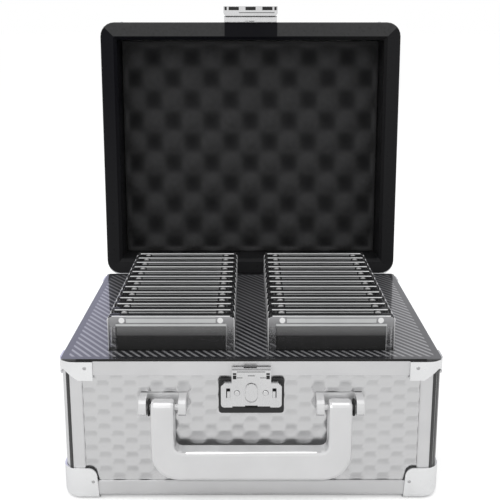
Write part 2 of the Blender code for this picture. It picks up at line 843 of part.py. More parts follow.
def lid_catch():
    """The catch on the lid's front: a plate, a housing with windows, and a hooked tongue."""
    half = CATCH_WIDTH / 2
    low = LID_LOW - CATCH_DROP
    high = low + CATCH_TALL
    face = LID_FRONT - GAP
    front = LID_FRONT - CATCH_REACH
    plate_low = LID_LOW - CATCH_PLATE_DROP
    plate_front = face - CATCH_PLATE
    depth = CATCH_GROOVE_DEPTH
    catch = box(
        "lid_catch",
        (-half, front, low),
        (half, plate_front - CATCH_GROOVE, high),
        [(CATCH_CORNER, ["-+|", "++|"])],
    )
    half = CATCH_PLATE_WIDTH / 2
    core = box(
        "core",
        (depth - half, front + depth, plate_low + depth),
        (half - depth, face - depth, high - depth),
    )
    join(catch, core, box("mount", (-half, plate_front, plate_low), (half, face, high)))
    rebate = box(
        "trim_rebate",
        (-half - OVERRUN, LID_FRONT - TRIM_OVERHANG - GAP, low - OVERRUN),
        (half + OVERRUN, LID_FRONT + OVERRUN, SHELL_LOW),
    )
    cut(catch, rebate)
    windows = []
    pitch, end = CATCH_WINDOW_PITCH, CATCH_END_WINDOW
    for centre in (-end, -pitch, 0, pitch, end):
        wide = CATCH_END_WIDE if abs(centre) == end else CATCH_WINDOW_WIDE
        windows.append(
            box(
                "catch_window",
                (centre - wide / 2, LID_FRONT - CATCH_WINDOW_HIGH, low - OVERRUN),
                (centre + wide / 2, LID_FRONT - CATCH_WINDOW_LOW, low + CATCH_WINDOW_DEEP),
            )
        )
    cut(catch, *windows)
    nose_top = hook_nose_low() - TONGUE_HOOK_CLEARANCE - HINGE_HEIGHT
    nose_low = nose_top - TONGUE_NOSE_TALL
    left = -TONGUE_LEFT
    outline = [
        (left - TONGUE_NOSE, nose_low),
        (TONGUE_RIGHT, nose_low),
        (TONGUE_RIGHT, plate_low + depth),
        (left, plate_low + depth),
        (left, nose_top),
        (left - TONGUE_NOSE, nose_top),
    ]
    tongue = plate(
        "tongue", [outline], LID_FRONT - HOOK_OUT - HOOK_THICK, LID_FRONT - HOOK_OUT, across=1
    )
    join(catch, tongue)
    show(catch, LATCH_METAL, LID)


def tray_outline():
    """The black tray's outline from the front, with a tab behind the cover's head."""
    half = TRAY_WIDTH / 2
    return rounded_outline(
        (-half, TRAY_LOW), (half, TRAY_HIGH), TRAY_CORNER, steps=3
    )


def latch_tray():
    front, back = FRONT - TRAY_PROUD, FRONT + PANEL_FACE - GAP
    tray = plate("latch_base_plate", [tray_outline()], front, back, across=1)
    tab_half = HEAD_WIDTH / 2 - COVER_WALL - GAP
    tab = box(
        "tab",
        (-tab_half, front, TRAY_HIGH - TRAY_CORNER),
        (tab_half, FRONT - GAP, HEAD_HIGH - COVER_WALL - GAP),
    )
    show(join(tray, tab), LATCH_BLACK, ROOT)


def cover_outline(inset):
    """The cover with its narrower head, drawn from the front."""
    half = COVER_WIDTH / 2 - inset
    head = HEAD_WIDTH / 2 - inset
    low = COVER_LOW + inset
    shoulder = TRAY_HIGH - COVER_SINK - inset
    high = HEAD_HIGH - inset
    bend = COVER_CHAMFER
    round_low = TRAY_CORNER
    return [
        *arc((-half + round_low, low + round_low), round_low, 180, 90, 3),
        *arc((half - round_low, low + round_low), round_low, 270, 90, 3),
        (half, shoulder - bend),
        (half - bend, shoulder),
        (head, shoulder),
        (head, high),
        (-head, high),
        (-head, shoulder),
        (-half + bend, shoulder),
        (-half, shoulder - bend),
    ]


def thumb_outline(clearance, low, tall):
    """An upright oval: half circles above and below."""
    radius = THUMB_WIDTH / 2 + clearance
    bottom = low + radius
    top = low + tall - radius
    return arc((0, top), radius, 0, 180, 8) + arc((0, bottom), radius, 180, 180, 8)


def hook_nose_low():
    """Height of the underside of the hook's nose, just below the cover's head."""
    return HEAD_HIGH - COVER_WALL - HOOK_TOP_CLEARANCE - HOOK_NOSE_TALL


def latch_cover():
    front = FRONT - COVER_FRONT
    back = FRONT - TRAY_PROUD - GAP
    cover = plate("latch_cover", [cover_outline(0)], front, back, across=1)
    hollow = plate(
        "cover_hollow", [cover_outline(COVER_WALL)], front + COVER_WALL, back + OVERRUN, across=1
    )
    cut(cover, hollow)
    margin = THUMB_WINDOW_CLEARANCE
    window = thumb_outline(
        margin, THUMB_LOW - THUMB_TRAVEL - margin, THUMB_TALL + THUMB_TRAVEL + 2 * margin
    )
    cut(cover, plate("thumb_window", [window], front - OVERRUN, back, across=1))
    low = COVER_LOW + HOOK_SLOT_TALL
    for side in (-1, 1):
        x0, x1 = sorted((side * HOOK_SLOT_LEFT, side * (HOOK_SLOT_LEFT - HOOK_SLOT_WIDE)))
        slot = box("side_slot", (x0, front - OVERRUN, low), (x1, back, low + HOOK_SLOT_TALL))
        cut(cover, slot)
    tongue = TONGUE_SLOT_CLEARANCE
    entry = box(
        "tongue_entry",
        (
            -TONGUE_LEFT - TONGUE_NOSE - tongue,
            FRONT - HOOK_OUT - HOOK_THICK - tongue,
            HEAD_HIGH - COVER_WALL - OVERRUN,
        ),
        (TONGUE_RIGHT + tongue, FRONT - HOOK_OUT + tongue, HEAD_HIGH + OVERRUN),
    )
    show(cut(cover, entry), LATCH_METAL, ROOT)


def latch_thumb():
    """The thumb pad, its plate behind the cover, and the pin that drives the hook plate."""
    cover_inside = FRONT - COVER_FRONT + COVER_WALL
    pad_front = FRONT - COVER_FRONT - THUMB_PROUD
    low = THUMB_LOW
    pad = plate(
        "latch_thumb_slide", [thumb_outline(0, low, THUMB_TALL)], pad_front, cover_inside + GAP, 1
    )
    half = THUMB_WIDTH / 2 + COVER_WALL
    below = THUMB_TRAVEL + 2 * THUMB_WINDOW_CLEARANCE
    backing = box(
        "backing",
        (-half, cover_inside + GAP / 2, low - below),
        (half, cover_inside + GAP / 2 + THUMB_PLATE, low + THUMB_TALL + COVER_WALL),
    )
    centre = low + THUMB_TALL / 2
    pin_end = FRONT - TRAY_PROUD - GAP
    pin = cylinder(
        "pin",
        (0, (cover_inside + pin_end) / 2, centre),
        THUMB_PIN_RADIUS,
        pin_end - cover_inside - GAP,
        (0, 1, 0),
        sides=10,
    )
    join(pad, backing, pin)
    pivot = Vector((0, FRONT - COVER_FRONT, centre))
    pad.data.transform(Matrix.Translation(-pivot))
    show(pad, LATCH_METAL, ROOT).location = pivot


def latch_hook():
    """The hook plate, drawn clear of the tongue, with the slanted slot that the pin follows."""
    nose_low = hook_nose_low()
    nose_high = nose_low + HOOK_NOSE_TALL
    pin_height = THUMB_LOW + THUMB_TALL / 2
    body_low = pin_height - HOOK_BODY_TALL / 2
    body_high = pin_height + HOOK_BODY_TALL / 2
    half = HOOK_BODY_HALF
    left = -HOOK_UPRIGHT_LEFT
    right = left + HOOK_UPRIGHT_WIDE
    outline = [
        (left, body_low),
        (half, body_low),
        (half, body_high - HOOK_NOSE_TALL),
        (right, body_high - HOOK_NOSE_TALL),
        (right, nose_low),
        (right + HOOK_NOSE, nose_low),
        (right + HOOK_NOSE / 2, nose_high),
        (left, nose_high),
    ]
    back = FRONT - HOOK_OUT
    hook = plate("latch_hook_plate", [outline], back - HOOK_THICK, back, across=1)
    radius = THUMB_PIN_RADIUS + GAP
    # The pin drops while the plate moves right, so its path on the plate slants down and left
    slant = math.degrees(math.atan2(THUMB_TRAVEL, HOOK_TRAVEL))
    upper = arc((0, pin_height), radius, slant - 90, 180)
    lower = arc((-HOOK_TRAVEL, pin_height - THUMB_TRAVEL), radius, slant + 90, 180)
    slot = plate("pin_slot", [upper + lower], back - HOOK_THICK - OVERRUN, back + OVERRUN, 1)
    cut(hook, slot)
    show(hook, LATCH_METAL, ROOT)


def handle_grip():
    """The U-shaped grip with its stub axles, drawn about its pivot axis, hanging down."""
    half_arm = HANDLE_ARM_WIDTH / 2
    outer = HANDLE_ARM_CENTRE + half_arm
    inner = HANDLE_ARM_CENTRE - half_arm
    low = -HANDLE_BAR_DROP
    bar = low + HANDLE_BAR_TALL
    top = HANDLE_TOP
    big, small = HANDLE_OUTER_RADIUS, HANDLE_INNER_RADIUS
    outline = [
        (-outer, top),
        *arc((-outer + big, low + big), big, 180, 90, 7),
        *arc((outer - big, low + big), big, 270, 90, 7),
        (outer, top),
        (inner, top),
        *arc((inner - small, bar + small), small, 0, -90, 3),
        *arc((-inner + small, bar + small), small, 270, -90, 3),
        (-inner, top),
    ]
    mid = -HANDLE_MID_OFFSET
    front, back = mid - HANDLE_THICK / 2, mid + HANDLE_THICK / 2
    grip = plate("handle_grip", [outline], front, back, across=1)
    bm = bmesh.new()
    bm.from_mesh(grip.data)
    bmesh.ops.dissolve_limit(
        bm, angle_limit=math.radians(1), verts=bm.verts, edges=bm.edges
    )
    crowns = [
        edge
        for edge in bm.edges
        if all(abs(v.co.z - top) < WELD for v in edge.verts)
        and abs(edge.verts[0].co.y - edge.verts[1].co.y) < WELD
    ]
    bmesh.ops.bevel(
        bm, geom=crowns, offset=HANDLE_TOP_ROUND, segments=4, profile=0.5, affect="EDGES"
    )
    bm.to_mesh(grip.data)
    bm.free()
    soften = grip.modifiers.new("soft_edges", "BEVEL")
    soften.width = HANDLE_EDGE
    soften.segments = 2
    soften.limit_method = "ANGLE"
    soften.angle_limit = math.radians(50)
    axles = []
    for side in (-1, 1):
        axles.append(
            cylinder(
                f"axle_{side}",
                (side * HANDLE_ARM_CENTRE, 0, 0),
                AXLE_RADIUS,
                HANDLE_ARM_WIDTH + 2 * AXLE_REACH,
                (1, 0, 0),
            )
        )
    join(grip, *axles)
    shown = show(grip, HANDLE, ROOT)
    shown.location = (0, FRONT - HANDLE_PIVOT_OUT, HANDLE_PIVOT)


def handle_brackets():
    """A base and two lugs that hold the arm between them, at each end of the handle."""
    high = HANDLE_PIVOT + BRACKET_ABOVE_PIVOT
    low = high - BRACKET_TALL
    panel = FRONT + PANEL_FACE - GAP
    half = BRACKET_WIDTH / 2
    front = FRONT - BRACKET_REACH
    base_front = panel - BRACKET_BASE
    for name, centre in (("left", -HANDLE_ARM_CENTRE), ("right", HANDLE_ARM_CENTRE)):
        x0, x1 = centre - half, centre + half
        bracket = box("handle_bracket_" + name, (x0, base_front, low), (x1, panel, high))
        over = base_front + BRACKET_BASE / 2
        lugs = [
            box(
                "lug",
                (start, front, low),
                (start + LUG_WIDTH, over, high),
                [(BRACKET_ROUND, ["|--", "|-+"])],
                steps=3,
            )
            for start in (x0, x1 - LUG_WIDTH)
        ]
        join(bracket, *lugs)
        hole = cylinder(
            "axle_hole",
            (centre, FRONT - HANDLE_PIVOT_OUT, HANDLE_PIVOT),
            AXLE_RADIUS + GAP,
            BRACKET_WIDTH + 2 * OVERRUN,
            (1, 0, 0),
        )
        show(cut(bracket, hole), HANDLE, ROOT)


def leaf(name, upward, knuckles):
    """A hinge leaf about the axis: a plate on the case, and knuckles on the pin."""
    near, far = HINGE_OUT - GAP, HINGE_OUT - GAP - LEAF_THICK
    half = HINGE_LENGTH / 2
    z0, z1 = sorted((upward * LEAF_CLEAR, upward * (LEAF_CLEAR + LEAF_WIDTH)))
    made = box(name, (-half, -near, z0), (half, -far, z1))
    pitch = HINGE_LENGTH / KNUCKLES
    joined = []
    for index in knuckles:
        centre = -half + pitch * (index + 0.5)
        reach = (pitch - KNUCKLE_GAP) / 2
        overlap = upward * (LEAF_CLEAR + LEAF_THICK)
        z0, z1 = sorted((0, overlap))
        joined.append(
            box("web", (centre - reach, -near, z0), (centre + reach, -far, z1))
        )
        joined.append(
            cylinder("knuckle", (centre, 0, 0), KNUCKLE_RADIUS, 2 * reach, (1, 0, 0))
        )
    join(made, *joined)
    bore = cylinder(
        "bore", (0, 0, 0), PIN_RADIUS + GAP, HINGE_LENGTH + 2 * OVERRUN, (1, 0, 0), sides=10
    )
    return cut(made, bore)


def hinge():
    on_axis = (0, BACK + HINGE_OUT, HINGE_HEIGHT)
    body_leaf = show(leaf("hinge_body_leaf", -1, range(0, KNUCKLES, 2)), HINGE, ROOT)
    body_leaf.location = on_axis
    show(leaf("hinge_lid_leaf", 1, range(1, KNUCKLES, 2)), HINGE, LID)
    pin = cylinder("hinge_pin", (0, 0, 0), PIN_RADIUS, HINGE_LENGTH, (1, 0, 0), sides=10)
    show(pin, HINGE, ROOT).location = on_axis


clear_scene()
CASE = new_collection("graded_card_case")
CUTTERS = new_collection("cutters")

ALUMINIUM = material("brushed_aluminium", (0.60, 0.61, 0.62), 0.38, 0.9)
PANEL = material("dimpled_panel", (0.58, 0.58, 0.59), 0.42, 0.85)
CAP = material("bright_cap", (0.78, 0.79, 0.80), 0.22, 0.9)
CARBON = material("carbon_twill", (0.03, 0.03, 0.035), 0.25)
FOAM = material("black_foam", (0.02, 0.02, 0.02), 0.9)
EGG_FOAM = material("charcoal_foam", (0.03, 0.03, 0.032), 0.95)
LINER = material("gloss_black", (0.008, 0.008, 0.009), 0.15)
CLEAR = material("clear_acrylic", (0.80, 0.82, 0.83), 0.08, 0.0, 0.35)
HANDLE = material("satin_silver", (0.64, 0.64, 0.65), 0.4, 0.6)
LATCH_METAL = material("latch_metal", (0.62, 0.62, 0.63), 0.3, 0.9)
LATCH_BLACK = material("latch_black", (0.015, 0.015, 0.015), 0.5)
HINGE = material("hinge_steel", (0.55, 0.56, 0.57), 0.35, 0.9)

ROOT = empty("case_origin", (0, 0, 0))
LID = empty("lid_hinge_axis", (0, BACK + HINGE_OUT, HINGE_HEIGHT), ROOT)
LID.rotation_euler = (-OPEN_ANGLE, 0, 0)

body_frame()
body_panels()
floor_panel()
foam_insert()
deck_panel()
slabs()
body_caps()
lid_shell()
lid_liner()
lid_foam()
lid_catch()
latch_tray()
latch_cover()
latch_thumb()
latch_hook()
handle_grip()
handle_brackets()
hinge()
bpy.context.view_layer.update()
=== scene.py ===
"""Looks for the graded card storage case: materials for the CAD parts, finer pieces that
stand for some of them, light and camera. Metres, +Z up, the front faces -Y."""

import math

import bmesh
import bpy
from mathutils import Matrix, Vector


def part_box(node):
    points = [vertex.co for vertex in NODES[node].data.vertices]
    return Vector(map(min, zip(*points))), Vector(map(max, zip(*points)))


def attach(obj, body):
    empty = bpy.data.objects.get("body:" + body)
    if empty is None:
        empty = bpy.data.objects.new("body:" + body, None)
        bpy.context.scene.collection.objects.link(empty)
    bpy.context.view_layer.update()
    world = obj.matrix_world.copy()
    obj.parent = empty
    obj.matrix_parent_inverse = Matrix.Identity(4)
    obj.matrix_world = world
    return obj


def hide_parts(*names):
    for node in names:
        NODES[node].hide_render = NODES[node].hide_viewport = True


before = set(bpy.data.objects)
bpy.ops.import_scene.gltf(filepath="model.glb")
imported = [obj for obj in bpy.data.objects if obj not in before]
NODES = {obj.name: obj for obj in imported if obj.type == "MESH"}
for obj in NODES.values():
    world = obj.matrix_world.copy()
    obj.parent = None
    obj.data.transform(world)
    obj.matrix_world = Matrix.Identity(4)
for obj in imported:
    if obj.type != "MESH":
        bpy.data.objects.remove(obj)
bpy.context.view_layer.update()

BODY = "case_body"
LID = "lid"
UP = Vector((0, 0, 1))
CORNERS = ("front_left", "front_right", "back_right", "back_left")
WALLS = (("body_front_panel", (0, -1, 0)), ("body_back_panel", (0, 1, 0)),
         ("body_left_panel", (-1, 0, 0)), ("body_right_panel", (1, 0, 0)))

# Places taken from the CAD
FRAME_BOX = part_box("body_frame")
LEFT, FRONT, FRAME_LOW = FRAME_BOX[0]
RIGHT, BACK, FRAME_HIGH = FRAME_BOX[1]
DECK_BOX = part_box("deck_panel")
PIN_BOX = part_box("hinge_pin")
AXIS_Y = (PIN_BOX[0][1] + PIN_BOX[1][1]) / 2
AXIS_Z = (PIN_BOX[0][2] + PIN_BOX[1][2]) / 2
OPEN_ANGLE = math.radians(92.1)
LID_PLACE = Matrix.Translation((0, AXIS_Y, AXIS_Z)) @ Matrix.Rotation(-OPEN_ANGLE, 4, "X")
SLAB_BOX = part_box("slab_left_01")
SLAB_TALL = SLAB_BOX[1][2] - SLAB_BOX[0][2]
SLAB_HALF = (SLAB_BOX[1][0] - SLAB_BOX[0][0]) / 2
SLAB_DEEP = (SLAB_BOX[1][1] - SLAB_BOX[0][1]) / 2
COVER_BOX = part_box("latch_cover")
COVER_FACE = COVER_BOX[0][1]
COVER_DROP = FRAME_HIGH - COVER_BOX[0][2]

# The lid, measured closed and from the hinge axis; the window is x0, y0, x1, y1 of its liner
LID_LOW = 0.0054
LID_HIGH = 0.0551
LID_BACK = -0.0022
LID_FRONT = -0.2122
LID_WINDOW = (-0.1108, -0.1997, 0.1108, -0.0146)
LID_WALL_WINDOW = (0.0172, 0.0456)
LID_RECESS = 0.0007
TRIM_BAND_SIDE = 0.0090
TRIM_BAND_FRONT = 0.0101

POST_RADIUS = 0.010
POST_FLANGE = 0.0133


# Materials

NOISE_LOW, NOISE_HIGH = 0.3, 0.7
WEAVE_ANGLE = math.radians(56)
WEAVE_PITCH = 0.0044
WEAVE_STEP_LENGTH = 1.3
WEAVE_STAGGER = 0.5
DECK_BORDER = 0.0044
# Painted light on the lid's black edging: the catch's painted shadow, the front band's painted
# reflection and the left side's painted shade
CATCH_SHADE_X = 0.0003
CATCH_SHADE_HALF = 0.0217
BAND_FADE = 0.0003
SIDE_SHADE_LOW, SIDE_SHADE_HIGH = 0.19, 0.04
SIDE_SHADE_REACH = 0.09
CLEAR_TOP = SLAB_TALL - 0.001
LABEL_TOP = SLAB_TALL - 0.0074
LABEL_GREY_LOW = SLAB_TALL - 0.0136
LABEL_BLACK_LOW, LABEL_BLACK_HIGH = SLAB_TALL - 0.0142, SLAB_TALL - 0.0134


def opaque(colour):
    """A colour with full alpha."""
    return (*colour, 1.0)


class Nodes:
    """Short ways to add nodes to a tree."""

    def __init__(self, tree):
        self.tree = tree
        tree.nodes.clear()

    def node(self, kind):
        return self.tree.nodes.new("ShaderNode" + kind)

    def join(self, source, target):
        self.tree.links.new(source, target)

    def put(self, socket, value):
        """Links a socket to another, or gives it a plain value."""
        if isinstance(value, bpy.types.NodeSocket):
            self.join(value, socket)
        else:
            socket.default_value = value

    def math(self, operation, a, b=0.0):
        node = self.node("Math")
        node.operation = operation
        self.put(node.inputs[0], a)
        self.put(node.inputs[1], b)
        return node.outputs[0]

    def axes(self, source):
        node = self.node("SeparateXYZ")
        self.join(source, node.inputs[0])
        return node.outputs

    def span(self, value, low, high, to_low=0.0, to_high=1.0, smooth=False):
        """Takes the range from low to high to another range, held at its ends."""
        node = self.node("MapRange")
        node.interpolation_type = "SMOOTHSTEP" if smooth else "LINEAR"
        self.join(value, node.inputs["Value"])
        node.inputs["From Min"].default_value = low
        node.inputs["From Max"].default_value = high
        node.inputs["To Min"].default_value = to_low
        node.inputs["To Max"].default_value = to_high
        return node.outputs[0]

    def blend(self, share, first, second):
        node = self.node("Mix")
        node.data_type = "RGBA"
        self.put(node.inputs["Factor"], share)
        self.put(node.inputs["A"], first)
        self.put(node.inputs["B"], second)
        return node.outputs["Result"]


class Look(Nodes):
    """A node material that starts as one Principled shader on object coordinates."""

    def __init__(self, name, colour, roughness, metallic=0.0):
        self.mat = bpy.data.materials.new(name)
        self.mat.use_nodes = True
        super().__init__(self.mat.node_tree)
        self.bsdf = self.node("BsdfPrincipled")
        self.join(self.bsdf.outputs[0], self.node("OutputMaterial").inputs[0])
        self.place = self.node("TexCoord").outputs["Object"]
        self.set("Base Color", opaque(colour))
        self.set("Roughness", roughness)
        self.set("Metallic", metallic)
        self.mat.diffuse_color = opaque(colour)

    def set(self, name, value):
        self.bsdf.inputs[name].default_value = value

    def feed(self, name, source):
        self.join(source, self.bsdf.inputs[name])

    def stretch(self, scale):
        node = self.node("Mapping")
        self.join(self.place, node.inputs["Vector"])
        node.inputs["Scale"].default_value = scale
        return node.outputs[0]

    def noise(self, scale, detail=3.0, vector=None):
        node = self.node("TexNoise")
        self.join(vector or self.place, node.inputs["Vector"])
        node.inputs["Scale"].default_value = scale
        node.inputs["Detail"].default_value = detail
        return node.outputs["Fac"]

    def spread(self, noise, to_low=0.0, to_high=1.0):
        """Draws the middle of a noise's range out to two values."""
        return self.span(noise, NOISE_LOW, NOISE_HIGH, to_low, to_high)

    def kept(self, name):
        """A number that the mesh keeps at each of its points."""
        node = self.node("Attribute")
        node.attribute_name = name
        return node.outputs["Fac"]

    def inside_band(self, value, half):
        """1 where the size of a value is under half, 0 beyond it."""
        soft = 0.0002
        return self.span(self.math("ABSOLUTE", value), half - soft, half + soft, 1.0, 0.0)

    def bump(self, height, strength, distance):
        node = self.node("Bump")
        node.inputs["Strength"].default_value = strength
        node.inputs["Distance"].default_value = distance
        self.join(height, node.inputs["Height"])
        self.feed("Normal", node.outputs[0])

    def vary(self, colour, scale, share):
        """Base colour that wavers round a colour by a share of it."""
        low = tuple(c * (1 - share) for c in colour)
        high = tuple(min(1.0, c * (1 + share)) for c in colour)
        noise = self.spread(self.noise(scale))
        self.feed("Base Color", self.blend(noise, opaque(low), opaque(high)))


def brushed(name, colour, rough_low, rough_high, stretch, bump=0.06):
    """A satin metal: fine lines along the axis with the small scale, and faint blotches."""
    look = Look(name, colour, (rough_low + rough_high) / 2, 1.0)
    lines = look.noise(1.0, 4.0, look.stretch(stretch))
    look.feed("Roughness", look.spread(lines, rough_low, rough_high))
    look.vary(colour, 35.0, 0.035)
    look.bump(lines, bump, 0.0002)
    return look.mat


def panel_look():
    """Silver skin; the upper side of each pressed hexagon is painted a little darker, a painted
    shade.
    """
    look = Look("dimpled_silver", (0.66, 0.66, 0.665), 0.2, 0.95)
    bright, painted_shade_grey = (0.635, 0.635, 0.64), (0.535, 0.535, 0.54)
    # painted shade on the upper side of each hexagon, broken up by a faint cloud
    rise = look.span(look.kept("rise"), 0.0, 0.55, smooth=True)
    cloud = look.spread(look.noise(55.0, 2.0), 0.55, 1.0)
    share = look.math("MULTIPLY", rise, cloud)
    look.feed("Base Color", look.blend(share, opaque(bright), opaque(painted_shade_grey)))
    fine = look.noise(300.0)
    look.feed("Roughness", look.spread(fine, 0.16, 0.24))
    look.bump(fine, 0.006, 0.0002)
    return look.mat


def satin_paint(name, colour, roughness, grain, share, bump, metallic=0.0):
    """A satin coat with a fine grain, its colour wavering by a share."""
    look = Look(name, colour, roughness, metallic)
    look.vary(colour, 40.0, share)
    look.bump(look.noise(grain, 4.0), bump, 0.0003)
    return look.mat


def foam_look(name, colour, grain, pit_shade_colour=None):
    """Matt open-cell foam: small dark cells, and pits painted darker as painted shade where a pit
    shade colour is given.
    """
    look = Look(name, colour, 0.95)
    cells = look.node("TexVoronoi")
    look.join(look.place, cells.inputs["Vector"])
    cells.inputs["Scale"].default_value = grain
    cell = look.span(cells.outputs["Distance"], 0.0, 0.7)
    dark = tuple(c * 0.55 for c in colour)
    light = tuple(c * 1.35 for c in colour)
    shade = look.blend(cell, opaque(dark), opaque(light))
    if pit_shade_colour:
        # painted shade, darker towards the bottom of each pit
        pit = look.span(look.kept("pit"), 0.35, 0.85, smooth=True)
        shade = look.blend(pit, shade, opaque(pit_shade_colour))
    look.feed("Base Color", shade)
    look.bump(cell, 0.5, 0.0006)
    look.set("Specular IOR Level", 0.15)
    look.set("Sheen Weight", 0.15)
    look.set("Sheen Roughness", 0.6)
    return look.mat


def carbon_look():
    """Dark weave with slanted light strands under a clear coat, inside a plain border."""
    look = Look("carbon_twill", (0.02, 0.02, 0.022), 0.35)
    x, y, _ = look.axes(look.place)
    sine, cosine = math.sin(WEAVE_ANGLE) / WEAVE_PITCH, math.cos(WEAVE_ANGLE) / WEAVE_PITCH
    across = look.math("ADD", look.math("MULTIPLY", x, sine), look.math("MULTIPLY", y, cosine))
    along = look.math("SUBTRACT", look.math("MULTIPLY", x, cosine),
                      look.math("MULTIPLY", y, sine))
    ridge = look.span(look.math("PINGPONG", across, 0.5), 0.22, 0.40, smooth=True)
    number = look.math("FLOOR", across)
    step = look.math("ADD", look.math("MULTIPLY", along, WEAVE_STEP_LENGTH),
                     look.math("MULTIPLY", number, WEAVE_STAGGER))
    breaks = look.span(look.math("PINGPONG", step, 0.5), 0.03, 0.12, 0.72, 1.0, smooth=True)
    strand = look.math("MULTIPLY", ridge, breaks)
    fibre = look.noise(1.0, 3.0, look.stretch((4200.0, 4200.0, 900.0)))
    strand = look.math("MULTIPLY", strand, look.spread(fibre, 0.8, 1.0))
    half = (DECK_BOX[1][0] - DECK_BOX[0][0]) / 2 - DECK_BORDER
    middle = (DECK_BOX[0][1] + DECK_BOX[1][1]) / 2
    deep = (DECK_BOX[1][1] - DECK_BOX[0][1]) / 2 - DECK_BORDER
    inside = look.math("MULTIPLY", look.inside_band(x, half),
                       look.inside_band(look.math("SUBTRACT", y, middle), deep))
    strand = look.math("MULTIPLY", strand, inside)
    dark, light = (0.010, 0.010, 0.013), (0.33, 0.33, 0.345)
    look.feed("Base Color", look.blend(strand, opaque(dark), opaque(light)))
    look.feed("Roughness", look.span(strand, 0.0, 1.0, 0.42, 0.30))
    look.bump(strand, 0.2, 0.0003)
    look.set("Coat Weight", 1.0)
    look.set("Coat IOR", 1.65)
    look.set("Coat Roughness", 0.05)
    return look.mat


def liner_look():
    """Black edging of the lid: its front band painted grey as a painted reflection, black below
    the catch as the catch's painted shadow, its left side painted darker towards the lid's front
    as painted shade."""
    look = Look("black_edging", (0.013, 0.013, 0.014), 0.30)
    x, _, z = look.axes(look.place)
    corner_x = RIGHT - TRIM_BAND_SIDE
    corner_z = AXIS_Z - (LID_FRONT + TRIM_BAND_FRONT) * math.sin(OPEN_ANGLE)
    over = look.math("SUBTRACT", z, corner_z)
    beside = look.math("SUBTRACT", look.math("ABSOLUTE", x), corner_x)
    past = look.math("MAXIMUM", beside, 0.0)
    # the front band, which carries the painted reflection
    band = look.span(look.math("SUBTRACT", over, past), 0.0, BAND_FADE)
    # painted shadow of the catch, kept black on the band
    under = look.inside_band(look.math("SUBTRACT", x, CATCH_SHADE_X), CATCH_SHADE_HALF)
    painted_reflection = look.math("MULTIPLY", band, look.math("SUBTRACT", 1.0, under))
    # painted shade: the left side darker towards the lid's front
    high = look.span(z, corner_z - SIDE_SHADE_LOW, corner_z - SIDE_SHADE_HIGH)
    left = look.blend(high, opaque((0.016, 0.016, 0.017)), opaque((0.005, 0.005, 0.007)))
    right = look.span(x, 0.0, SIDE_SHADE_REACH, smooth=True)
    side = look.blend(right, left, opaque((0.013, 0.013, 0.014)))
    grain = look.noise(420.0)
    # grey of the painted reflection, with a fine grain
    grey = look.blend(look.spread(grain), opaque((0.046, 0.046, 0.047)),
                      opaque((0.056, 0.056, 0.057)))
    look.feed("Base Color", look.blend(painted_reflection, side, grey))
    look.feed("Roughness", look.spread(grain, 0.26, 0.38))
    look.set("Specular IOR Level", 0.09)
    look.bump(look.noise(60.0, 2.0), 0.02, 0.0004)
    return look.mat


def gloss_black(name, colour, roughness, coat):
    """A black strip under a thin clear coat."""
    look = Look(name, colour, roughness)
    look.vary(colour, 20.0, 0.25)
    look.bump(look.noise(60.0, 2.0), 0.02, 0.0004)
    look.set("Coat Weight", coat)
    look.set("Coat Roughness", 0.05)
    return look.mat


def acrylic(name, colour, roughness, top_alpha, low_alpha, fade):
    """Clear plastic, thinner to look through further below the slab's top (the object's z)."""
    look = Look(name, colour, roughness)
    _, _, z = look.axes(look.place)
    scratches = look.noise(1.0, 3.0, look.stretch((2500.0, 120.0, 120.0)))
    look.feed("Alpha", look.span(z, SLAB_TALL - fade, CLEAR_TOP, low_alpha, top_alpha))
    look.feed("Roughness", look.spread(scratches, roughness * 0.8, roughness * 1.3))
    look.vary(colour, 60.0, 0.05)
    return look.mat


def label_look():
    """A generic dark label: grey at the top, fading, then black from one level down."""
    look = Look("plain_label", (0.02, 0.02, 0.02), 0.4)
    _, _, z = look.axes(look.place)
    fade = look.span(z, LABEL_GREY_LOW, LABEL_TOP)
    upper = look.blend(fade, opaque((0.070, 0.070, 0.071)), opaque((0.21, 0.21, 0.21)))
    over = look.span(z, LABEL_BLACK_LOW, LABEL_BLACK_HIGH, smooth=True)
    both = look.blend(over, opaque((0.010, 0.010, 0.010)), upper)
    paper = look.spread(look.noise(90.0, 2.0), 0.0, 0.10)
    look.feed("Base Color", look.blend(paper, both, opaque((0.03, 0.03, 0.03))))
    look.set("Specular IOR Level", 0.2)
    return look.mat


ALUMINIUM = brushed("satin_aluminium", (0.675, 0.675, 0.68), 0.30, 0.42, (60.0, 60.0, 900.0))
PANEL = panel_look()
CAP = brushed("bright_cap", (0.86, 0.865, 0.87), 0.18, 0.28, (500.0, 500.0, 500.0), 0.02)
RIVET = brushed("rivet_steel", (0.46, 0.46, 0.465), 0.25, 0.35, (500.0, 500.0, 500.0), 0.02)
CARBON = carbon_look()
FOAM = foam_look("black_foam", (0.018, 0.018, 0.019), 900.0)
# the last colour is the painted shade of the egg foam's pits
EGG_FOAM = foam_look("charcoal_egg_foam", (0.030, 0.030, 0.031), 1400.0, (0.010, 0.010, 0.011))
LINER = liner_look()
STRIP = gloss_black("black_strip", (0.012, 0.012, 0.012), 0.35, 0.3)
HANDLE = satin_paint("satin_silver", (0.72, 0.72, 0.725), 0.28, 700.0, 0.03, 0.05, 0.45)
LATCH_METAL = brushed("satin_nickel", (0.68, 0.68, 0.685), 0.20, 0.32, (900.0, 60.0, 60.0))
LATCH_BLACK = satin_paint("latch_black", (0.012, 0.012, 0.012), 0.45, 900.0, 0.2, 0.1)
STEEL = brushed("hinge_steel", (0.56, 0.57, 0.58), 0.25, 0.38, (60.0, 700.0, 700.0))
SHADOW_BLACK = satin_paint("recess_black", (0.006, 0.006, 0.006), 0.7, 900.0, 0.2, 0.1)
ACRYLIC_EDGE = acrylic("acrylic_edge", (0.012, 0.012, 0.013), 0.10, 0.85, 0.45, 0.020)
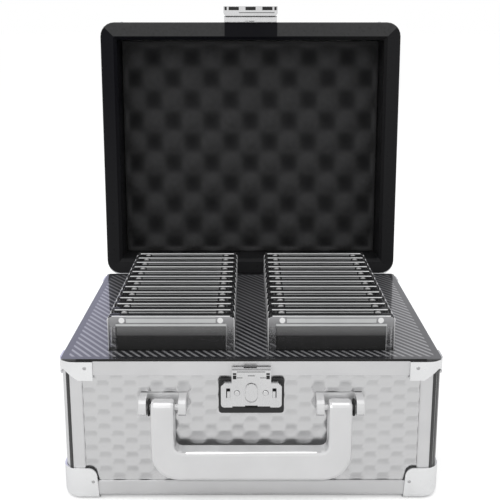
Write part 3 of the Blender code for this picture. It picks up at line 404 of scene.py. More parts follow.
ACRYLIC_RIM = acrylic("acrylic_rim", (0.05, 0.05, 0.052), 0.12, 0.55, 0.30, 0.014)
# the front slab's rims, painted lighter than the rest: painted light
ACRYLIC_FRONT_LIT = acrylic("acrylic_front_rim_lit", (0.42, 0.42, 0.43), 0.12, 0.75, 0.10, 0.015)
ACRYLIC_FACE = acrylic("acrylic_face", (0.30, 0.30, 0.31), 0.06, 0.10, 0.03, 0.014)
# pale lines and bars on the clear slabs: painted highlights
ACRYLIC_HIGHLIGHT_LINE = acrylic("acrylic_highlight_line", (0.74, 0.74, 0.75), 0.15, 0.95, 0.35, 0.030)
ACRYLIC_HIGHLIGHT_BAR = acrylic("acrylic_highlight_bar", (0.60, 0.61, 0.61), 0.15, 0.95, 0.9, 0.014)
PEG = satin_paint("bright_peg", (0.86, 0.86, 0.86), 0.2, 500.0, 0.04, 0.03, 0.2)
LABEL = label_look()
# pale strips at the rows' outer ends: painted highlight
ROW_END_HIGHLIGHT = satin_paint("clear_edge_highlight", (0.62, 0.62, 0.66), 0.15, 500.0, 0.25, 0.03)
# a brighter metal on the handle bar's upper front edge: painted highlight
HIGHLIGHT_EDGE = brushed("painted_highlight_edge", (0.86, 0.86, 0.86), 0.16, 0.24, (60.0, 900.0, 900.0), 0.01)


def dress(names, mat):
    """Gives CAD nodes a finished material."""
    for name in names:
        if not NODES[name].material_slots:
            NODES[name].data.materials.append(mat)
        for slot in NODES[name].material_slots:
            slot.material = mat


dress(["body_frame", "lid_shell"], ALUMINIUM)
dress(["body_floor_panel"], PANEL)
dress([kind + "_" + c for kind in ("top_cap", "foot_cap", "lid_rim_cap") for c in CORNERS], CAP)
dress(["deck_panel"], CARBON)
dress(["lid_liner"], LINER)
dress(["lid_catch", "latch_cover", "latch_thumb_slide", "latch_hook_plate"], LATCH_METAL)
dress(["latch_base_plate"], LATCH_BLACK)
dress(["handle_grip", "handle_bracket_left", "handle_bracket_right"], HANDLE)
dress(["hinge_body_leaf", "hinge_lid_leaf", "hinge_pin"], STEEL)


# Pieces

def in_scene(name, data):
    """A new object in the scene."""
    obj = bpy.data.objects.new(name, data)
    bpy.context.scene.collection.objects.link(obj)
    return obj


def finished_mesh(bm, name, mats, angle=32.0, smooth=True):
    """A mesh from a bmesh, with its materials and with edges over an angle kept sharp."""
    bmesh.ops.recalc_face_normals(bm, faces=bm.faces)
    mesh = bpy.data.meshes.new(name)
    bm.to_mesh(mesh)
    bm.free()
    for mat in mats:
        mesh.materials.append(mat)
    if smooth:
        mesh.shade_smooth()
        mesh.set_sharp_from_angle(angle=math.radians(angle))
    return mesh


def placed(mesh, name, body, replaces=(), location=None):
    """A piece of a finished mesh, tied to its body, with the CAD parts that it replaces hidden.
    """
    obj = in_scene(name, mesh)
    if location is not None:
        obj.location = location
    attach(obj, body)
    if replaces:
        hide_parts(*replaces)
    return obj


def piece(bm, name, body, mat, replaces=(), angle=32.0, smooth=True):
    """A piece of a bmesh, with one material."""
    return placed(finished_mesh(bm, name, [mat], angle, smooth), name, body, replaces)


def keep_values(obj, name, values):
    """Keeps a number at each of a mesh's first points, and 0 at the rest."""
    values = values + [0.0] * (len(obj.data.vertices) - len(values))
    obj.data.attributes.new(name, "FLOAT", "POINT").data.foreach_set("value", values)


def lathe(bm, profile, place, sides=20, material=0):
    """A turned solid: (radius, height) points from the axis back to the axis, about local Z."""
    rings = []
    for radius, height in profile:
        if radius == 0:
            rings.append([bm.verts.new(place @ Vector((0, 0, height)))])
            continue
        ring = []
        for index in range(sides):
            turn = 2 * math.pi * index / sides
            point = Vector((radius * math.cos(turn), radius * math.sin(turn), height))
            ring.append(bm.verts.new(place @ point))
        rings.append(ring)
    for lower, upper in zip(rings, rings[1:]):
        for index in range(sides):
            after = (index + 1) % sides
            corners = [lower[index % len(lower)], lower[after % len(lower)],
                       upper[after % len(upper)], upper[index % len(upper)]]
            unique = list(dict.fromkeys(corners))
            if len(unique) > 2:
                bm.faces.new(unique).material_index = material


def rivet_profile(radius, height, sink=0.0006):
    """A low domed head on a shank that goes a little way in."""
    return [(0, -sink), (radius * 0.8, -sink), (radius * 0.97, 0.0), (radius, height * 0.12),
            (radius * 0.93, height * 0.45), (radius * 0.72, height * 0.78),
            (radius * 0.4, height * 0.96), (0, height)]


def facing(point, outward):
    """A matrix with local Z along a direction, at a point."""
    turn = UP.rotation_difference(Vector(outward)).to_matrix().to_4x4()
    return Matrix.Translation(point) @ turn


def sheet_turn(up, out):
    """The turn that takes local y to up and local z to out."""
    return Matrix((up.cross(out), up, out)).transposed().to_4x4()


def block(bm, low, high, material=0, place=None, bevel=0.0):
    """A box of bmesh faces, its edges softened when a bevel is given."""
    made = bmesh.ops.create_cube(bm, size=1.0)["verts"]
    for vert in made:
        vert.co = Vector([high[i] if vert.co[i] > 0 else low[i] for i in range(3)])
    for face in {f for v in made for f in v.link_faces}:
        face.material_index = material
    if bevel:
        edges = list(dict.fromkeys(e for v in made for e in v.link_edges))
        result = bmesh.ops.bevel(bm, geom=edges, offset=bevel, segments=2,
                                 profile=0.6, affect="EDGES")
        made = list(dict.fromkeys(v for f in result["faces"] for v in f.verts))
    if place is not None:
        bmesh.ops.transform(bm, matrix=place, verts=made)


def grid_solid(columns, rows, point, back):
    """A closed sheet: point(i, j) gives the front, back(i, j) the rim of its flat back."""
    bm = bmesh.new()
    front = [[bm.verts.new(point(i, j)) for i in range(columns + 1)] for j in range(rows + 1)]
    for j in range(rows):
        for i in range(columns):
            bm.faces.new((front[j][i], front[j][i + 1], front[j + 1][i + 1], front[j + 1][i]))
    loop = ([(i, 0) for i in range(columns)] + [(columns, j) for j in range(rows)]
            + [(i, rows) for i in range(columns, 0, -1)] + [(0, j) for j in range(rows, 0, -1)])
    rim = [bm.verts.new(back(i, j)) for i, j in loop]
    for index, (i, j) in enumerate(loop):
        after = (index + 1) % len(loop)
        k, m = loop[after]
        bm.faces.new((front[j][i], rim[index], rim[after], front[m][k]))
    bm.faces.new(rim)
    return bm


# Dimpled panels

DIMPLE_PITCH = 0.010
DIMPLE_DEPTH = 0.00060
DIMPLE_COLUMN = DIMPLE_PITCH * math.sqrt(3) / 2
DIMPLE_REACH = DIMPLE_PITCH / math.sqrt(3)
DIMPLE_DROP = 0.0040
SHEET_STEP = 0.00125
LID_PANEL_MARGIN = 0.0001
LID_PANEL_SINK = 0.00005
LID_PANEL_THICK = LID_RECESS - 0.0001


def dimple(u, v):
    """Depth of the pressed hexagons below the face, and how far up its hexagon a point is."""
    best, up = 1.0, 0.0
    base = math.floor(u / DIMPLE_COLUMN)
    for column in (base - 1, base, base + 1, base + 2):
        shift = DIMPLE_PITCH / 2 if column % 2 else 0.0
        row = round((v - shift) / DIMPLE_PITCH)
        rise = v - shift - row * DIMPLE_PITCH
        far = math.hypot(u - column * DIMPLE_COLUMN, rise)
        if far < best:
            best, up = far, rise
    share = min(1.0, best / DIMPLE_REACH)
    return DIMPLE_DEPTH * (1.0 - share * share), up / DIMPLE_REACH


def dimple_sheet(name, body, wide, tall, thick, place, replaces=()):
    """A dimpled panel: local x and y across it, local z outward, its face at z = 0."""
    columns, rows = max(2, round(wide / SHEET_STEP)), max(2, round(tall / SHEET_STEP))
    rises = []

    def across(i, j):
        return (i / columns - 0.5) * wide, (j / rows - 0.5) * tall

    def front(i, j):
        u, v = across(i, j)
        depth, rise = dimple(u, v - DIMPLE_DROP)
        rises.append(rise)
        return place @ Vector((u, v, -depth))

    def back(i, j):
        return place @ Vector((*across(i, j), -thick))

    bm = grid_solid(columns, rows, front, back)
    obj = piece(bm, name, body, PANEL, replaces, angle=60.0)
    # how far up its hexagon each point is, for the panel's painted shade
    keep_values(obj, "rise", rises)


def wall_place(name, outward):
    """Width, height and thickness of a wall panel, and the matrix of its outer face."""
    low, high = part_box(name)
    centre = [(a + b) / 2 for a, b in zip(low, high)]
    axis = 0 if outward[0] else 1
    centre[axis] = high[axis] if outward[axis] > 0 else low[axis]
    place = Matrix.Translation(centre) @ sheet_turn(UP, Vector(outward))
    return high[1 - axis] - low[1 - axis], high[2] - low[2], high[axis] - low[axis], place


def wall_panels():
    """Dimpled walls of the box, one for each CAD panel."""
    for node, outward in WALLS:
        wide, tall, thick, place = wall_place(node, outward)
        dimple_sheet(node.replace("_panel", "_dimples"), BODY, wide, tall, thick, place, [node])


def lid_panels():
    """Dimpled skins in the lid's recesses, placed on the closed lid and turned open."""
    margin = 2 * (POST_FLANGE + LID_PANEL_MARGIN)
    wide = RIGHT - LEFT - margin
    deep = LID_BACK - LID_FRONT - margin
    tall = LID_WALL_WINDOW[1] - LID_WALL_WINDOW[0] - 2 * LID_PANEL_MARGIN
    mid_y, mid_z = (LID_FRONT + LID_BACK) / 2, sum(LID_WALL_WINDOW) / 2
    for name, centre, outward, across, along in (
        ("lid_top_dimples", (0, mid_y, LID_HIGH), (0, 0, 1), wide, deep),
        ("lid_front_dimples", (0, LID_FRONT, mid_z), (0, -1, 0), wide, tall),
        ("lid_back_dimples", (0, LID_BACK, mid_z), (0, 1, 0), wide, tall),
        ("lid_left_dimples", (LEFT, mid_y, mid_z), (-1, 0, 0), deep, tall),
        ("lid_right_dimples", (RIGHT, mid_y, mid_z), (1, 0, 0), deep, tall),
    ):
        out = Vector(outward)
        up = Vector((0, 1, 0)) if outward[2] else UP
        inward = Vector(centre) - out * LID_PANEL_SINK
        place = LID_PLACE @ Matrix.Translation(inward) @ sheet_turn(up, out)
        dimple_sheet(name, LID, across, along, LID_PANEL_THICK, place)


wall_panels()
lid_panels()


# Lid foam

EGG_PITCH_X = 0.0168
EGG_PITCH_Y = 0.0184
EGG_PIT_Y = -0.0205
EGG_CREST = 0.0328
EGG_DEPTH = 0.0112
EGG_BACK = 0.0533
EGG_GAP = 0.0004
EGG_COLUMNS, EGG_ROWS = 150, 124
EGG_BORDER = 0.006
EGG_BORDER_LEVEL = 0.45
EGG_RIM_DROP = 0.1


def egg(x, y):
    """0 on a peak, 1 in a pit."""
    wave = math.cos(math.pi * x / EGG_PITCH_X) * math.cos(math.pi * (y - EGG_PIT_Y) / EGG_PITCH_Y)
    return 0.5 + 0.5 * wave


def egg_foam():
    """Convoluted foam that fills the lid's liner, level along its border."""
    x0, y0, x1, y1 = LID_WINDOW
    x0, y0, x1, y1 = x0 + EGG_GAP, y0 + EGG_GAP, x1 - EGG_GAP, y1 - EGG_GAP
    pits = []

    def across(i, j):
        return x0 + (x1 - x0) * i / EGG_COLUMNS, y0 + (y1 - y0) * j / EGG_ROWS

    def front(i, j):
        x, y = across(i, j)
        edge = min(x - x0, x1 - x, y - y0, y1 - y)
        fade = max(0.0, min(1.0, edge / EGG_BORDER))
        fade = fade * fade * (3 - 2 * fade)
        deep = egg(x, y)
        level = deep * fade + EGG_BORDER_LEVEL * (1 - fade)
        if edge < 1e-6:
            level += EGG_RIM_DROP
        pits.append(deep * fade)
        return LID_PLACE @ Vector((x, y, EGG_CREST + EGG_DEPTH * level))

    def back(i, j):
        return LID_PLACE @ Vector((*across(i, j), EGG_BACK))

    bm = grid_solid(EGG_COLUMNS, EGG_ROWS, front, back)
    obj = piece(bm, "lid_egg_foam", LID, EGG_FOAM, ["lid_foam"], angle=70.0)
    # how deep in a pit each point is, for the foam's painted shade
    keep_values(obj, "pit", pits)


egg_foam()


# Foam insert

FOAM_EDGE = 0.0006


def foam_block():
    """The slotted insert with softened edges, on the CAD solid's own outline."""
    bm = bmesh.new()
    bm.from_mesh(NODES["foam_insert"].data)
    bmesh.ops.dissolve_limit(bm, angle_limit=math.radians(1), verts=bm.verts, edges=bm.edges)
    obj = piece(bm, "slotted_foam", BODY, FOAM, ["foam_insert"])
    soften = obj.modifiers.new("soft_edges", "BEVEL")
    soften.width = FOAM_EDGE
    soften.segments = 2
    soften.limit_method = "ANGLE"


foam_block()


# Slabs, each about the middle of its foot

SLABS_PER_ROW = 13
SLAB_RIM = 0.0056
SLAB_RIM_SLOPE = 0.0003
SLAB_RECESS = 0.0007
SLAB_EDGE = 0.0005
SLAB_CORNER = 0.003
LEAST_CORNER = 0.0003
SEAM_HALF = 0.0010
SEAM_DEEP = 0.0012
LINE_GAP_IN, LINE_GAP_OUT = 0.0120, 0.0012
LABEL_HALF = 0.0357
LABEL_THICK = 0.0018
LABEL_LOW = 0.004
PEG_INSET = 0.0093
PEG_DROP = 0.0031
PEG_RADIUS = 0.0024
PEG_CHAMFER = 0.0006
PEG_PROUD = 0.0001
PEG_SIDES = 16
RIDGE_INSET = 0.0004
RIDGE_HALF = 0.0003
RIDGE_DROPS = (0.0070, 0.0028)
BAR_PROUD = 0.0001
BAR_BACK = 0.0009
# painted highlight bars: half width, drops of the lower and upper edge from the slab's top
TOP_BAR = (0.0290, 0.0009, 0.0002)
BAND_HALF, BAND_LOW = 0.0290, 0.0046
LOW_BAR = (0.0362, 0.0070, 0.0055)
TOP_PLATE_HALF = 0.0400
TOP_PLATE_DROPS = (0.0012, 0.0002)
FACE_PLATE_HALF = 0.0350
FACE_PLATE_DROPS = (0.0054, 0.0009)
PLATE_INSET = 0.0010
FACE_PLATE_THICK = 0.0004
BAND_HIGH_FRONT, BAND_HIGH_REST = 0.0019, 0.0017

# A slab's materials by number
EDGE, RIM, FACE, HIGHLIGHT_BAR, PAPER, PIN, HIGHLIGHT_LINE, SHADE_PLATE = range(8)


def rounded(half, low, high, radius, inset, steps=5):
    """Outline of a slab, inset from its edge: (x, z) points."""
    points = []
    r = max(radius - inset, LEAST_CORNER)
    x, z0, z1 = half - inset, low + inset, high - inset
    for cx, cz, start in ((-x + r, z0 + r, 180), (x - r, z0 + r, 270),
                          (x - r, z1 - r, 0), (-x + r, z1 - r, 90)):
        for step in range(steps + 1):
            turn = math.radians(start + 90 * step / steps)
            points.append((cx + r * math.cos(turn), cz + r * math.sin(turn)))
    return points


def slab_shell(bm):
    """The two halves with the seam between them, as rings from the front face to the back."""
    deep, rim_top = SLAB_DEEP, SLAB_RIM - SLAB_RIM_SLOPE
    # inset from the outline, y, and the material of the faces to the next ring
    rings = [
        # the front chamfers carry painted highlight lines
        (SLAB_RIM, -deep + SLAB_RECESS, HIGHLIGHT_LINE), (rim_top, -deep, RIM), (SLAB_EDGE, -deep, HIGHLIGHT_LINE),
        (0.0, -deep + SLAB_EDGE, EDGE), (0.0, -SEAM_HALF, EDGE), (SEAM_DEEP, -SEAM_HALF, EDGE),
        (SEAM_DEEP, SEAM_HALF, EDGE), (0.0, SEAM_HALF, EDGE), (0.0, deep - SLAB_EDGE, EDGE),
        (SLAB_EDGE, deep, RIM), (rim_top, deep, FACE), (SLAB_RIM, deep - SLAB_RECESS, FACE),
    ]
    loops = []
    for inset, y, _ in rings:
        outline = rounded(SLAB_HALF, 0.0, SLAB_TALL, SLAB_CORNER, inset)
        loops.append([bm.verts.new((x, y, z)) for x, z in outline])
    count = len(loops[0])
    for (_, _, look), first, second in zip(rings, loops, loops[1:]):
        for k in range(count):
            after = (k + 1) % count
            face = bm.faces.new((first[k], first[after], second[after], second[k]))
            middle = abs(first[k].co.x + first[after].co.x) / 2
            # the painted highlight lines stop short of the slab's upper corners
            broken = SLAB_HALF - LINE_GAP_IN < middle < SLAB_HALF - LINE_GAP_OUT
            broken = broken and look == HIGHLIGHT_LINE and first[k].co.z > SLAB_TALL / 2
            face.material_index = EDGE if broken else look
    bm.faces.new(loops[0]).material_index = FACE
    bm.faces.new(loops[-1]).material_index = FACE


def slab_mesh(name, rim_look, band_high):
    """One slab: shell halves, label, pegs, side ridges and bright bars in painted highlight, and
    dark plates of painted shade.
    """
    bm = bmesh.new()
    deep, top = SLAB_DEEP, SLAB_TALL
    slab_shell(bm)
    block(bm, (-LABEL_HALF, -LABEL_THICK, LABEL_LOW), (LABEL_HALF, LABEL_THICK, LABEL_TOP), PAPER)
    reach = deep + PEG_PROUD
    shoulder = PEG_RADIUS - PEG_CHAMFER
    peg = [(0, -reach), (shoulder, -reach), (PEG_RADIUS, -reach + PEG_CHAMFER),
           (PEG_RADIUS, reach - PEG_CHAMFER), (shoulder, reach), (0, reach)]
    ridge_deep = deep - RIDGE_HALF
    for side in (-1, 1):
        place = facing((side * (SLAB_HALF - PEG_INSET), 0, top - PEG_DROP), (0, -1, 0))
        lathe(bm, peg, place, PEG_SIDES, PIN)
        # side ridges in painted highlight
        x = side * (SLAB_HALF - RIDGE_INSET)
        block(bm, (x - RIDGE_HALF, -ridge_deep, top - RIDGE_DROPS[0]),
              (x + RIDGE_HALF, ridge_deep, top - RIDGE_DROPS[1]), HIGHLIGHT_LINE)
    # painted highlight bars on the front: half width, drops of the lower and upper edge, how far
    # they stand out
    for half, low, high, out in (
        (*TOP_BAR, BAR_PROUD),
        (BAND_HALF, BAND_LOW, band_high, BAR_PROUD),
        (*LOW_BAR, -BAR_PROUD),
    ):
        block(bm, (-half, -deep - out, top - low), (half, -deep + BAR_BACK, top - high), HIGHLIGHT_BAR)
    # dark plates between the pegs, painted shade so that the slab's top reads black from above
    inner = deep - PLATE_INSET
    for half, back, (low, high) in (
        (TOP_PLATE_HALF, inner, TOP_PLATE_DROPS),
        (FACE_PLATE_HALF, -inner + FACE_PLATE_THICK, FACE_PLATE_DROPS),
    ):
        block(bm, (-half, -inner, top - low), (half, back, top - high), SHADE_PLATE)
    mats = [ACRYLIC_EDGE, rim_look, ACRYLIC_FACE, ACRYLIC_HIGHLIGHT_BAR, LABEL, PEG, ACRYLIC_HIGHLIGHT_LINE,
            SHADOW_BLACK]
    return finished_mesh(bm, name, mats, angle=30.0)


def slabs():
    """All slabs, on two shared meshes: the front one of each row has lighter rims, painted light.
    """
    front_shell = slab_mesh("slab_front_shell", ACRYLIC_FRONT_LIT, BAND_HIGH_FRONT)
    shell = slab_mesh("slab_clear_shell", ACRYLIC_RIM, BAND_HIGH_REST)
    for side in ("left", "right"):
        for index in range(1, SLABS_PER_ROW + 1):
            node = f"slab_{side}_{index:02d}"
            low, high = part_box(node)
            foot = ((low[0] + high[0]) / 2, (low[1] + high[1]) / 2, low[2])
            mesh = front_shell if index == 1 else shell
            placed(mesh, f"{node}_case", BODY, [node], foot)


slabs()


# Strips, beads and edging

FINE_BEVEL = 0.0001
BEAD_BEVEL = 0.0002
STRIP_LOW = FRAME_LOW + 0.0208
STRIP_HIGH = FRAME_HIGH - 0.0048
STRIP_PROUD = 0.0001
STRIP_DEEP = 0.0008
# degrees round a post, from its front or back towards its side
STRIP_TURN = 34
STRIP_HALF = 0.0014
# a dark band of narrow strips on the right-hand posts' rounded sides: painted shade
SHADE_BAND_TURNS = (50, 58, 66, 74, 82)
SHADE_BAND_HALF = 0.0009
BEAD_HALF = 0.0005
BEAD_THICK = 0.0009
BEAD_INSET_SIDE = POST_FLANGE - POST_RADIUS - 0.0003
BEAD_INSET_LOW = 0.0098
BEAD_INSET_HIGH = 0.0079
EDGING_PROUD = 0.0001
EDGING_INSET = 0.0001
EDGING_DEEP = 0.0004
EDGING_CORNER = 0.0100
ROW_STRIP_REACH = (-0.0001, 0.0005)
ROW_STRIP_DROPS = (0.0040, 0.0030)
ROW_STRIP_INSET = 0.001


def post_strips():
    """Black strips let into the corner posts, and a broader dark band round the right-hand posts
    that is painted shade on their rounded sides.
    """
    bm = bmesh.new()
    face = POST_RADIUS + STRIP_PROUD
    for sx in (-1, 1):
        for sy in (-1, 1):
            centre_y = FRONT + POST_RADIUS if sy < 0 else BACK - POST_RADIUS
            centre = Matrix.Translation((sx * (RIGHT - POST_RADIUS), centre_y, 0))
            for degrees in (STRIP_TURN, *(SHADE_BAND_TURNS if sx > 0 else ())):
                angle = math.radians(degrees)
                turn = math.atan2(sy * math.cos(angle), sx * math.sin(angle))
                half = STRIP_HALF if degrees == STRIP_TURN else SHADE_BAND_HALF
                place = centre @ Matrix.Rotation(turn, 4, "Z")
                block(bm, (face - STRIP_DEEP, -half, STRIP_LOW), (face, half, STRIP_HIGH),
                      place=place, bevel=FINE_BEVEL)
    piece(bm, "post_strips", BODY, STRIP)


def panel_beads():
    """A fine bead that closes the step between each wall panel and the frame round it."""
    bm = bmesh.new()
    for node, outward in WALLS:
        wide, tall, _, place = wall_place(node, outward)
        half = wide / 2 - BEAD_INSET_SIDE
        low, high = -tall / 2 + BEAD_INSET_LOW, tall / 2 - BEAD_INSET_HIGH
        bars = [(-half, half, z - BEAD_HALF, z + BEAD_HALF) for z in (low, high)]
        bars += [(x - BEAD_HALF, x + BEAD_HALF, low, high) for x in (-half, half)]
        for x0, x1, z0, z1 in bars:
            block(bm, (x0, z0, 0.0), (x1, z1, BEAD_THICK), place=place, bevel=BEAD_BEVEL)
    piece(bm, "panel_beads", BODY, ALUMINIUM)


def deck_edging():
    """A thin black edge along the deck's front and sides."""
    bm = bmesh.new()
    (x0, y0, z0), (x1, y1, z1) = DECK_BOX
    low, high = z0 + EDGING_INSET, z1 - EDGING_INSET
    block(bm, (x0 + EDGING_CORNER, y0 - EDGING_PROUD, low),
          (x1 - EDGING_CORNER, y0 + EDGING_DEEP, high))
    for outer, inner in ((x0 - EDGING_PROUD, x0 + EDGING_DEEP),
                         (x1 + EDGING_PROUD, x1 - EDGING_DEEP)):
        block(bm, (min(outer, inner), y0 + EDGING_CORNER, low),
              (max(outer, inner), y1 - EDGING_CORNER, high))
    piece(bm, "deck_edging", BODY, SHADOW_BLACK, smooth=False)


def row_edge_strips():
    """A pale strip along the outer ends of each row's slabs, a painted highlight on their clear
    edges.
    """
    bm = bmesh.new()
    for side, sign in (("left", -1), ("right", 1)):
        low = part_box(f"slab_{side}_01")[0]
        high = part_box(f"slab_{side}_{SLABS_PER_ROW:02d}")[1]
        x = low[0] if sign < 0 else high[0]
        inner, outer = sorted(x + sign * reach for reach in ROW_STRIP_REACH)
        block(bm, (inner, low[1] + ROW_STRIP_INSET, high[2] - ROW_STRIP_DROPS[0]),
              (outer, high[1] - ROW_STRIP_INSET, high[2] - ROW_STRIP_DROPS[1]), bevel=FINE_BEVEL)
    piece(bm, "row_edge_strips", BODY, ROW_END_HIGHLIGHT)


# Handle

# y and z of its axis
HANDLE_PIVOT = (FRONT - 0.0073, 0.0681)
HANDLE_BAR_TALL = 0.020
HANDLE_EDGE = 0.0022
EDGE_LINE_HALF = (0.0416, 0.0006)
EDGE_LINE_SINK, EDGE_LINE_PROUD = 0.0002, 0.00006
EDGE_LINE_BEVEL = 0.00005
# dark discs between the handle's arms and lugs: painted shade in the gaps
GAP_SHADE_X = 0.0646
GAP_SHADE_SIDES = 28
GAP_SHADE_DISC = [(0, 0.0), (0.0054, 0.0), (0.0056, 0.0002), (0.0056, 0.0009), (0.0054, 0.0011),
          (0, 0.0011)]


def handle_details():
    """A painted highlight line on the bar's upper front edge, and dark discs between arms and
    lugs as painted shade in the gaps.
    """
    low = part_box("handle_grip")[0]
    # painted highlight line along the bar's upper front edge
    centre = (0, low[1] + HANDLE_EDGE, low[2] + HANDLE_BAR_TALL - HANDLE_EDGE)
    place = Matrix.Translation(centre) @ Matrix.Rotation(math.radians(45), 4, "X")
    half_x, half_y = EDGE_LINE_HALF
    bm = bmesh.new()
    block(bm, (-half_x, -half_y, HANDLE_EDGE - EDGE_LINE_SINK),
          (half_x, half_y, HANDLE_EDGE + EDGE_LINE_PROUD), place=place, bevel=EDGE_LINE_BEVEL)
    piece(bm, "handle_edge_highlight", "handle", HIGHLIGHT_EDGE)
    # painted shade in the gaps between arms and lugs
    bm = bmesh.new()
    for side in (-1, 1):
        lathe(bm, GAP_SHADE_DISC, facing((side * GAP_SHADE_X, *HANDLE_PIVOT), (side, 0, 0)), GAP_SHADE_SIDES)
    piece(bm, "handle_gap_shade", "handle", SHADOW_BLACK)


post_strips()
panel_beads()
deck_edging()
row_edge_strips()
handle_details()


# Rivets

RIVET_OUT = 0.0015
RIVET_OUT_SIDE = 0.0010
RIM_RIVET = rivet_profile(0.0012, 0.0004)
BALL_RIVET = rivet_profile(0.0011, 0.0003)
RIM_RIVET_IN = 0.0160
BALL_RIVET_IN = 0.0185
RIM_RIVET_DROP = 0.0042
BALL_RIVET_RISE = 0.0115


def corner_rivets(name, body, ends, ball_level, rim_level, place):
    """Flat rivet heads at the corners, at one level on the ball caps and one on the rim caps."""
    bm = bmesh.new()
    front, back = ends
    for profile, inset, level in ((RIM_RIVET, RIM_RIVET_IN, rim_level),
                                  (BALL_RIVET, BALL_RIVET_IN, ball_level)):
        for sx in (-1, 1):
            x = sx * (RIGHT - inset)
            lathe(bm, profile, place @ facing((x, front - RIVET_OUT, level), (0, -1, 0)))
            lathe(bm, profile, place @ facing((x, back + RIVET_OUT, level), (0, 1, 0)))
            x = sx * (RIGHT + RIVET_OUT_SIDE)
            for y in (front + inset, back - inset):
                lathe(bm, profile, place @ facing((x, y, level), (sx, 0, 0)))
    piece(bm, name, body, RIVET)


corner_rivets("cap_rivets", BODY, (FRONT, BACK), FRAME_LOW + BALL_RIVET_RISE,
              FRAME_HIGH - RIM_RIVET_DROP, Matrix())
corner_rivets("lid_cap_rivets", LID, (LID_FRONT, LID_BACK), LID_HIGH - BALL_RIVET_RISE,
              LID_LOW + RIM_RIVET_DROP, LID_PLACE)


# Latch and catch details

# Painted shade marks on the cover: x from and to, drops of the upper and lower edge from the
# frame's top
COVER_SHADE_MARKS = [
    (-0.0122, 0.0122, 0.0034, 0.0038), (-0.0092, 0.0088, 0.0048, 0.0052),
    (-0.0022, 0.0022, 0.0074, 0.0078), (-0.0121, 0.0121, 0.0284, COVER_DROP),
    (-0.0040, 0.0040, 0.0278, COVER_DROP),
]
MIRRORED_SHADE_MARKS = [
    (0.0095, 0.0117, 0.0058, 0.0070), (0.0095, 0.0117, 0.0074, 0.0099),
    (0.0056, 0.0092, 0.0088, 0.0092),
]
MARK_PROUD, MARK_DEEP = 0.00005, 0.0003
STUD_X = 0.0091
STUD_SIDES = 24
STUD = rivet_profile(0.0017, 0.00035, 0.0002)
STUD_DROP = 0.0194
# a dark ring round each stud: painted shade
STUD_SHADE_RING_DROP = 0.0192
STUD_SHADE_RING = [(0, -0.0002), (0.0019, -0.0002), (0.0019, 0.00005), (0, 0.00006)]
# x from and to, drops of the lower and upper edge
SLOT_PLATE = (0.0135, 0.0154, 0.0228, 0.0183)
SLOT_PLATE_SINK = (0.0002, 0.0009)

# The catch, measured on the closed lid: its windows' middles and widths
CATCH_WINDOWS = [(-0.0203, 0.0018), (-0.0137, 0.0083), (0, 0.0083), (0.0137, 0.0083),
                 (0.0203, 0.0018)]
CATCH_DROP = 0.0036
CATCH_FACE = LID_LOW - CATCH_DROP
WINDOW_MARGIN = 0.0001
CATCH_WINDOW_REACH = (0.0134, 0.0109)
CATCH_WINDOW_RISE = (0.0002, 0.0010)
# Painted shade lines on the catch: x from and to, how far before the lid's front, and height
# above the catch's lower face
CATCH_SHADE_LINES = [
    ((-0.0095, 0.0195), (0.0091, 0.0086), (-0.00005, 0.0003)),
    ((-0.0215, 0.0215), (0.0061, 0.0056), (0.0012, 0.0020)),
]


def latch_details():
    """Dark lines and rings of painted shade on the latch cover, and its bright studs."""
    bm = bmesh.new()
    mirrored = [(*sorted((side * x0, side * x1)), high, low)
                for side in (-1, 1) for x0, x1, high, low in MIRRORED_SHADE_MARKS]
    for x0, x1, high, low in COVER_SHADE_MARKS + mirrored:
        block(bm, (x0, COVER_FACE - MARK_PROUD, FRAME_HIGH - low),
              (x1, COVER_FACE + MARK_DEEP, FRAME_HIGH - high))
    for side in (-1, 1):
        centre = (side * STUD_X, COVER_FACE, FRAME_HIGH - STUD_SHADE_RING_DROP)
        lathe(bm, STUD_SHADE_RING, facing(centre, (0, -1, 0)), STUD_SIDES)
    piece(bm, "latch_cover_shade_lines", BODY, SHADOW_BLACK, smooth=False)
    bm = bmesh.new()
    near, far, low, high = SLOT_PLATE
    for side in (-1, 1):
        centre = (side * STUD_X, COVER_FACE, FRAME_HIGH - STUD_DROP)
        lathe(bm, STUD, facing(centre, (0, -1, 0)), STUD_SIDES)
        inner, outer = sorted((side * near, side * far))
        block(bm, (inner, COVER_FACE + SLOT_PLATE_SINK[0], FRAME_HIGH - low),
              (outer, COVER_FACE + SLOT_PLATE_SINK[1], FRAME_HIGH - high), bevel=FINE_BEVEL)
    piece(bm, "latch_cover_studs", BODY, LATCH_METAL)


def catch_details():
    """Painted shade: dark floors in the catch's windows and groove, and the fine dark line across
    its housing.
    """
    bm = bmesh.new()
    # painted shade on the floors of the catch's windows
    floors = [((centre - wide / 2 + WINDOW_MARGIN, centre + wide / 2 - WINDOW_MARGIN),
               CATCH_WINDOW_REACH, CATCH_WINDOW_RISE) for centre, wide in CATCH_WINDOWS]
    for (x0, x1), (far, near), (low, high) in floors + CATCH_SHADE_LINES:
        block(bm, (x0, LID_FRONT - far, CATCH_FACE + low),
              (x1, LID_FRONT - near, CATCH_FACE + high), place=LID_PLACE)
    piece(bm, "catch_recess_shade", LID, SHADOW_BLACK, smooth=False)


latch_details()
catch_details()


# Stage, light and camera

FLOOR_COLOUR = (0.86, 0.86, 0.86)
FLOOR_REACH = 30.0
FLOOR_GLOW_SEEN, FLOOR_GLOW_REST = 0.36, 0.05
WORLD_SEEN, WORLD_REST = 1.0, 0.75
BEHIND_LEFT, BEHIND_RIGHT = (0.68, 0.68, 0.86), (0.58, 0.58, 0.60)
BEHIND_TURN = 0.12
BEHIND_FROM, BEHIND_FULL = 0.25, 0.55
LAMP_POWER = 5.0
# place, target and side of each lamp
LAMPS = {
    "key": ((-0.7, -1.1, 1.3), (0, 0, 0.12), 0.9),
    "top": ((0.2, 0.0, 1.6), (0, 0, 0.1), 1.2),
}
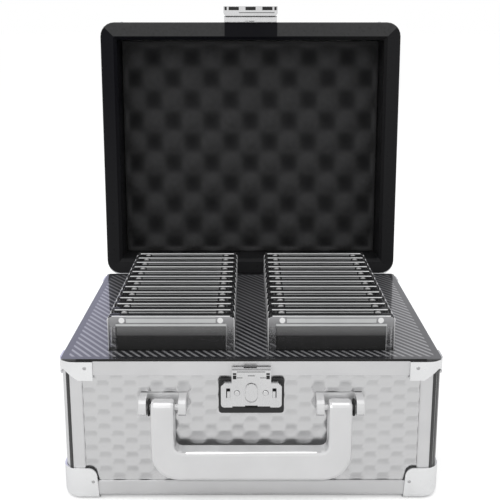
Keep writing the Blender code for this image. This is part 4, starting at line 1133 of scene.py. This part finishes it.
# The camera: places in metres, angles in degrees, lens and sensor in millimetres
CAMERA_X = -0.0018
CAMERA_BACK = 0.5504
CAMERA_HIGH = 0.3049
CAMERA_DOWN = 13.84
CAMERA_TURN = -0.0998
CAMERA_LENS = 66.13
CAMERA_SENSOR = 36.0


def stage_floor():
    """A pale floor, lifted a little towards white for the camera."""
    bm = bmesh.new()
    bmesh.ops.create_grid(bm, x_segments=8, y_segments=8, size=FLOOR_REACH)
    mesh = bpy.data.meshes.new("floor")
    bm.to_mesh(mesh)
    bm.free()
    look = Look("pale_floor", FLOOR_COLOUR, 0.7)
    look.vary(FLOOR_COLOUR, 3.0, 0.004)
    look.set("Specular IOR Level", 0.0)
    look.set("Emission Color", (1.0, 1.0, 1.0, 1.0))
    seen = look.node("LightPath").outputs["Is Camera Ray"]
    look.feed("Emission Strength", look.span(seen, 0.0, 1.0, FLOOR_GLOW_REST, FLOOR_GLOW_SEEN))
    mesh.materials.append(look.mat)
    in_scene("floor", mesh)


def studio_world():
    """White to the camera; behind, for gloss alone, a faintly blue left and a greyer right."""
    world = bpy.data.worlds.new("studio")
    bpy.context.scene.world = world
    world.use_nodes = True
    nodes = Nodes(world.node_tree)
    back = nodes.node("Background")
    rays = nodes.node("LightPath").outputs
    glossy = rays["Is Glossy Ray"]
    seen = nodes.math("MAXIMUM", rays["Is Camera Ray"], glossy)
    seen = nodes.math("MAXIMUM", seen, rays["Is Transmission Ray"])
    x, y, _ = nodes.axes(nodes.node("TexCoord").outputs["Generated"])
    sideways = nodes.blend(nodes.span(x, -BEHIND_TURN, BEHIND_TURN), opaque(BEHIND_LEFT),
                           opaque(BEHIND_RIGHT))
    behind = nodes.math("MULTIPLY", nodes.span(y, BEHIND_FROM, BEHIND_FULL), glossy)
    tint = nodes.blend(behind, (1.0, 1.0, 1.0, 1.0), sideways)
    nodes.join(tint, back.inputs["Color"])
    nodes.join(nodes.span(seen, 0.0, 1.0, WORLD_REST, WORLD_SEEN), back.inputs["Strength"])
    nodes.join(back.outputs[0], nodes.node("OutputWorld").inputs[0])


def area_light(name, place, target, size):
    """A square lamp that looks at a target."""
    data = bpy.data.lights.new(name, "AREA")
    data.shape = "RECTANGLE"
    data.size, data.size_y = size, size
    data.energy = LAMP_POWER
    obj = in_scene(name, data)
    obj.location = place
    way = Vector(target) - Vector(place)
    obj.rotation_euler = way.to_track_quat("-Z", "Y").to_euler()


def camera_in_front():
    """The camera at the photograph's height and angle."""
    camera = bpy.data.cameras.new("camera")
    camera.sensor_width = CAMERA_SENSOR
    camera.lens = CAMERA_LENS
    camera.clip_start = 0.01
    shot = in_scene("camera", camera)
    shot.location = (CAMERA_X, FRONT - CAMERA_BACK, CAMERA_HIGH)
    shot.rotation_euler = (math.radians(90 - CAMERA_DOWN), 0, math.radians(CAMERA_TURN))
    bpy.context.scene.camera = shot


stage_floor()
studio_world()
for lamp, (place, target, size) in LAMPS.items():
    area_light(lamp, place, target, size)
camera_in_front()
bpy.context.scene.view_settings.view_transform = "Standard"
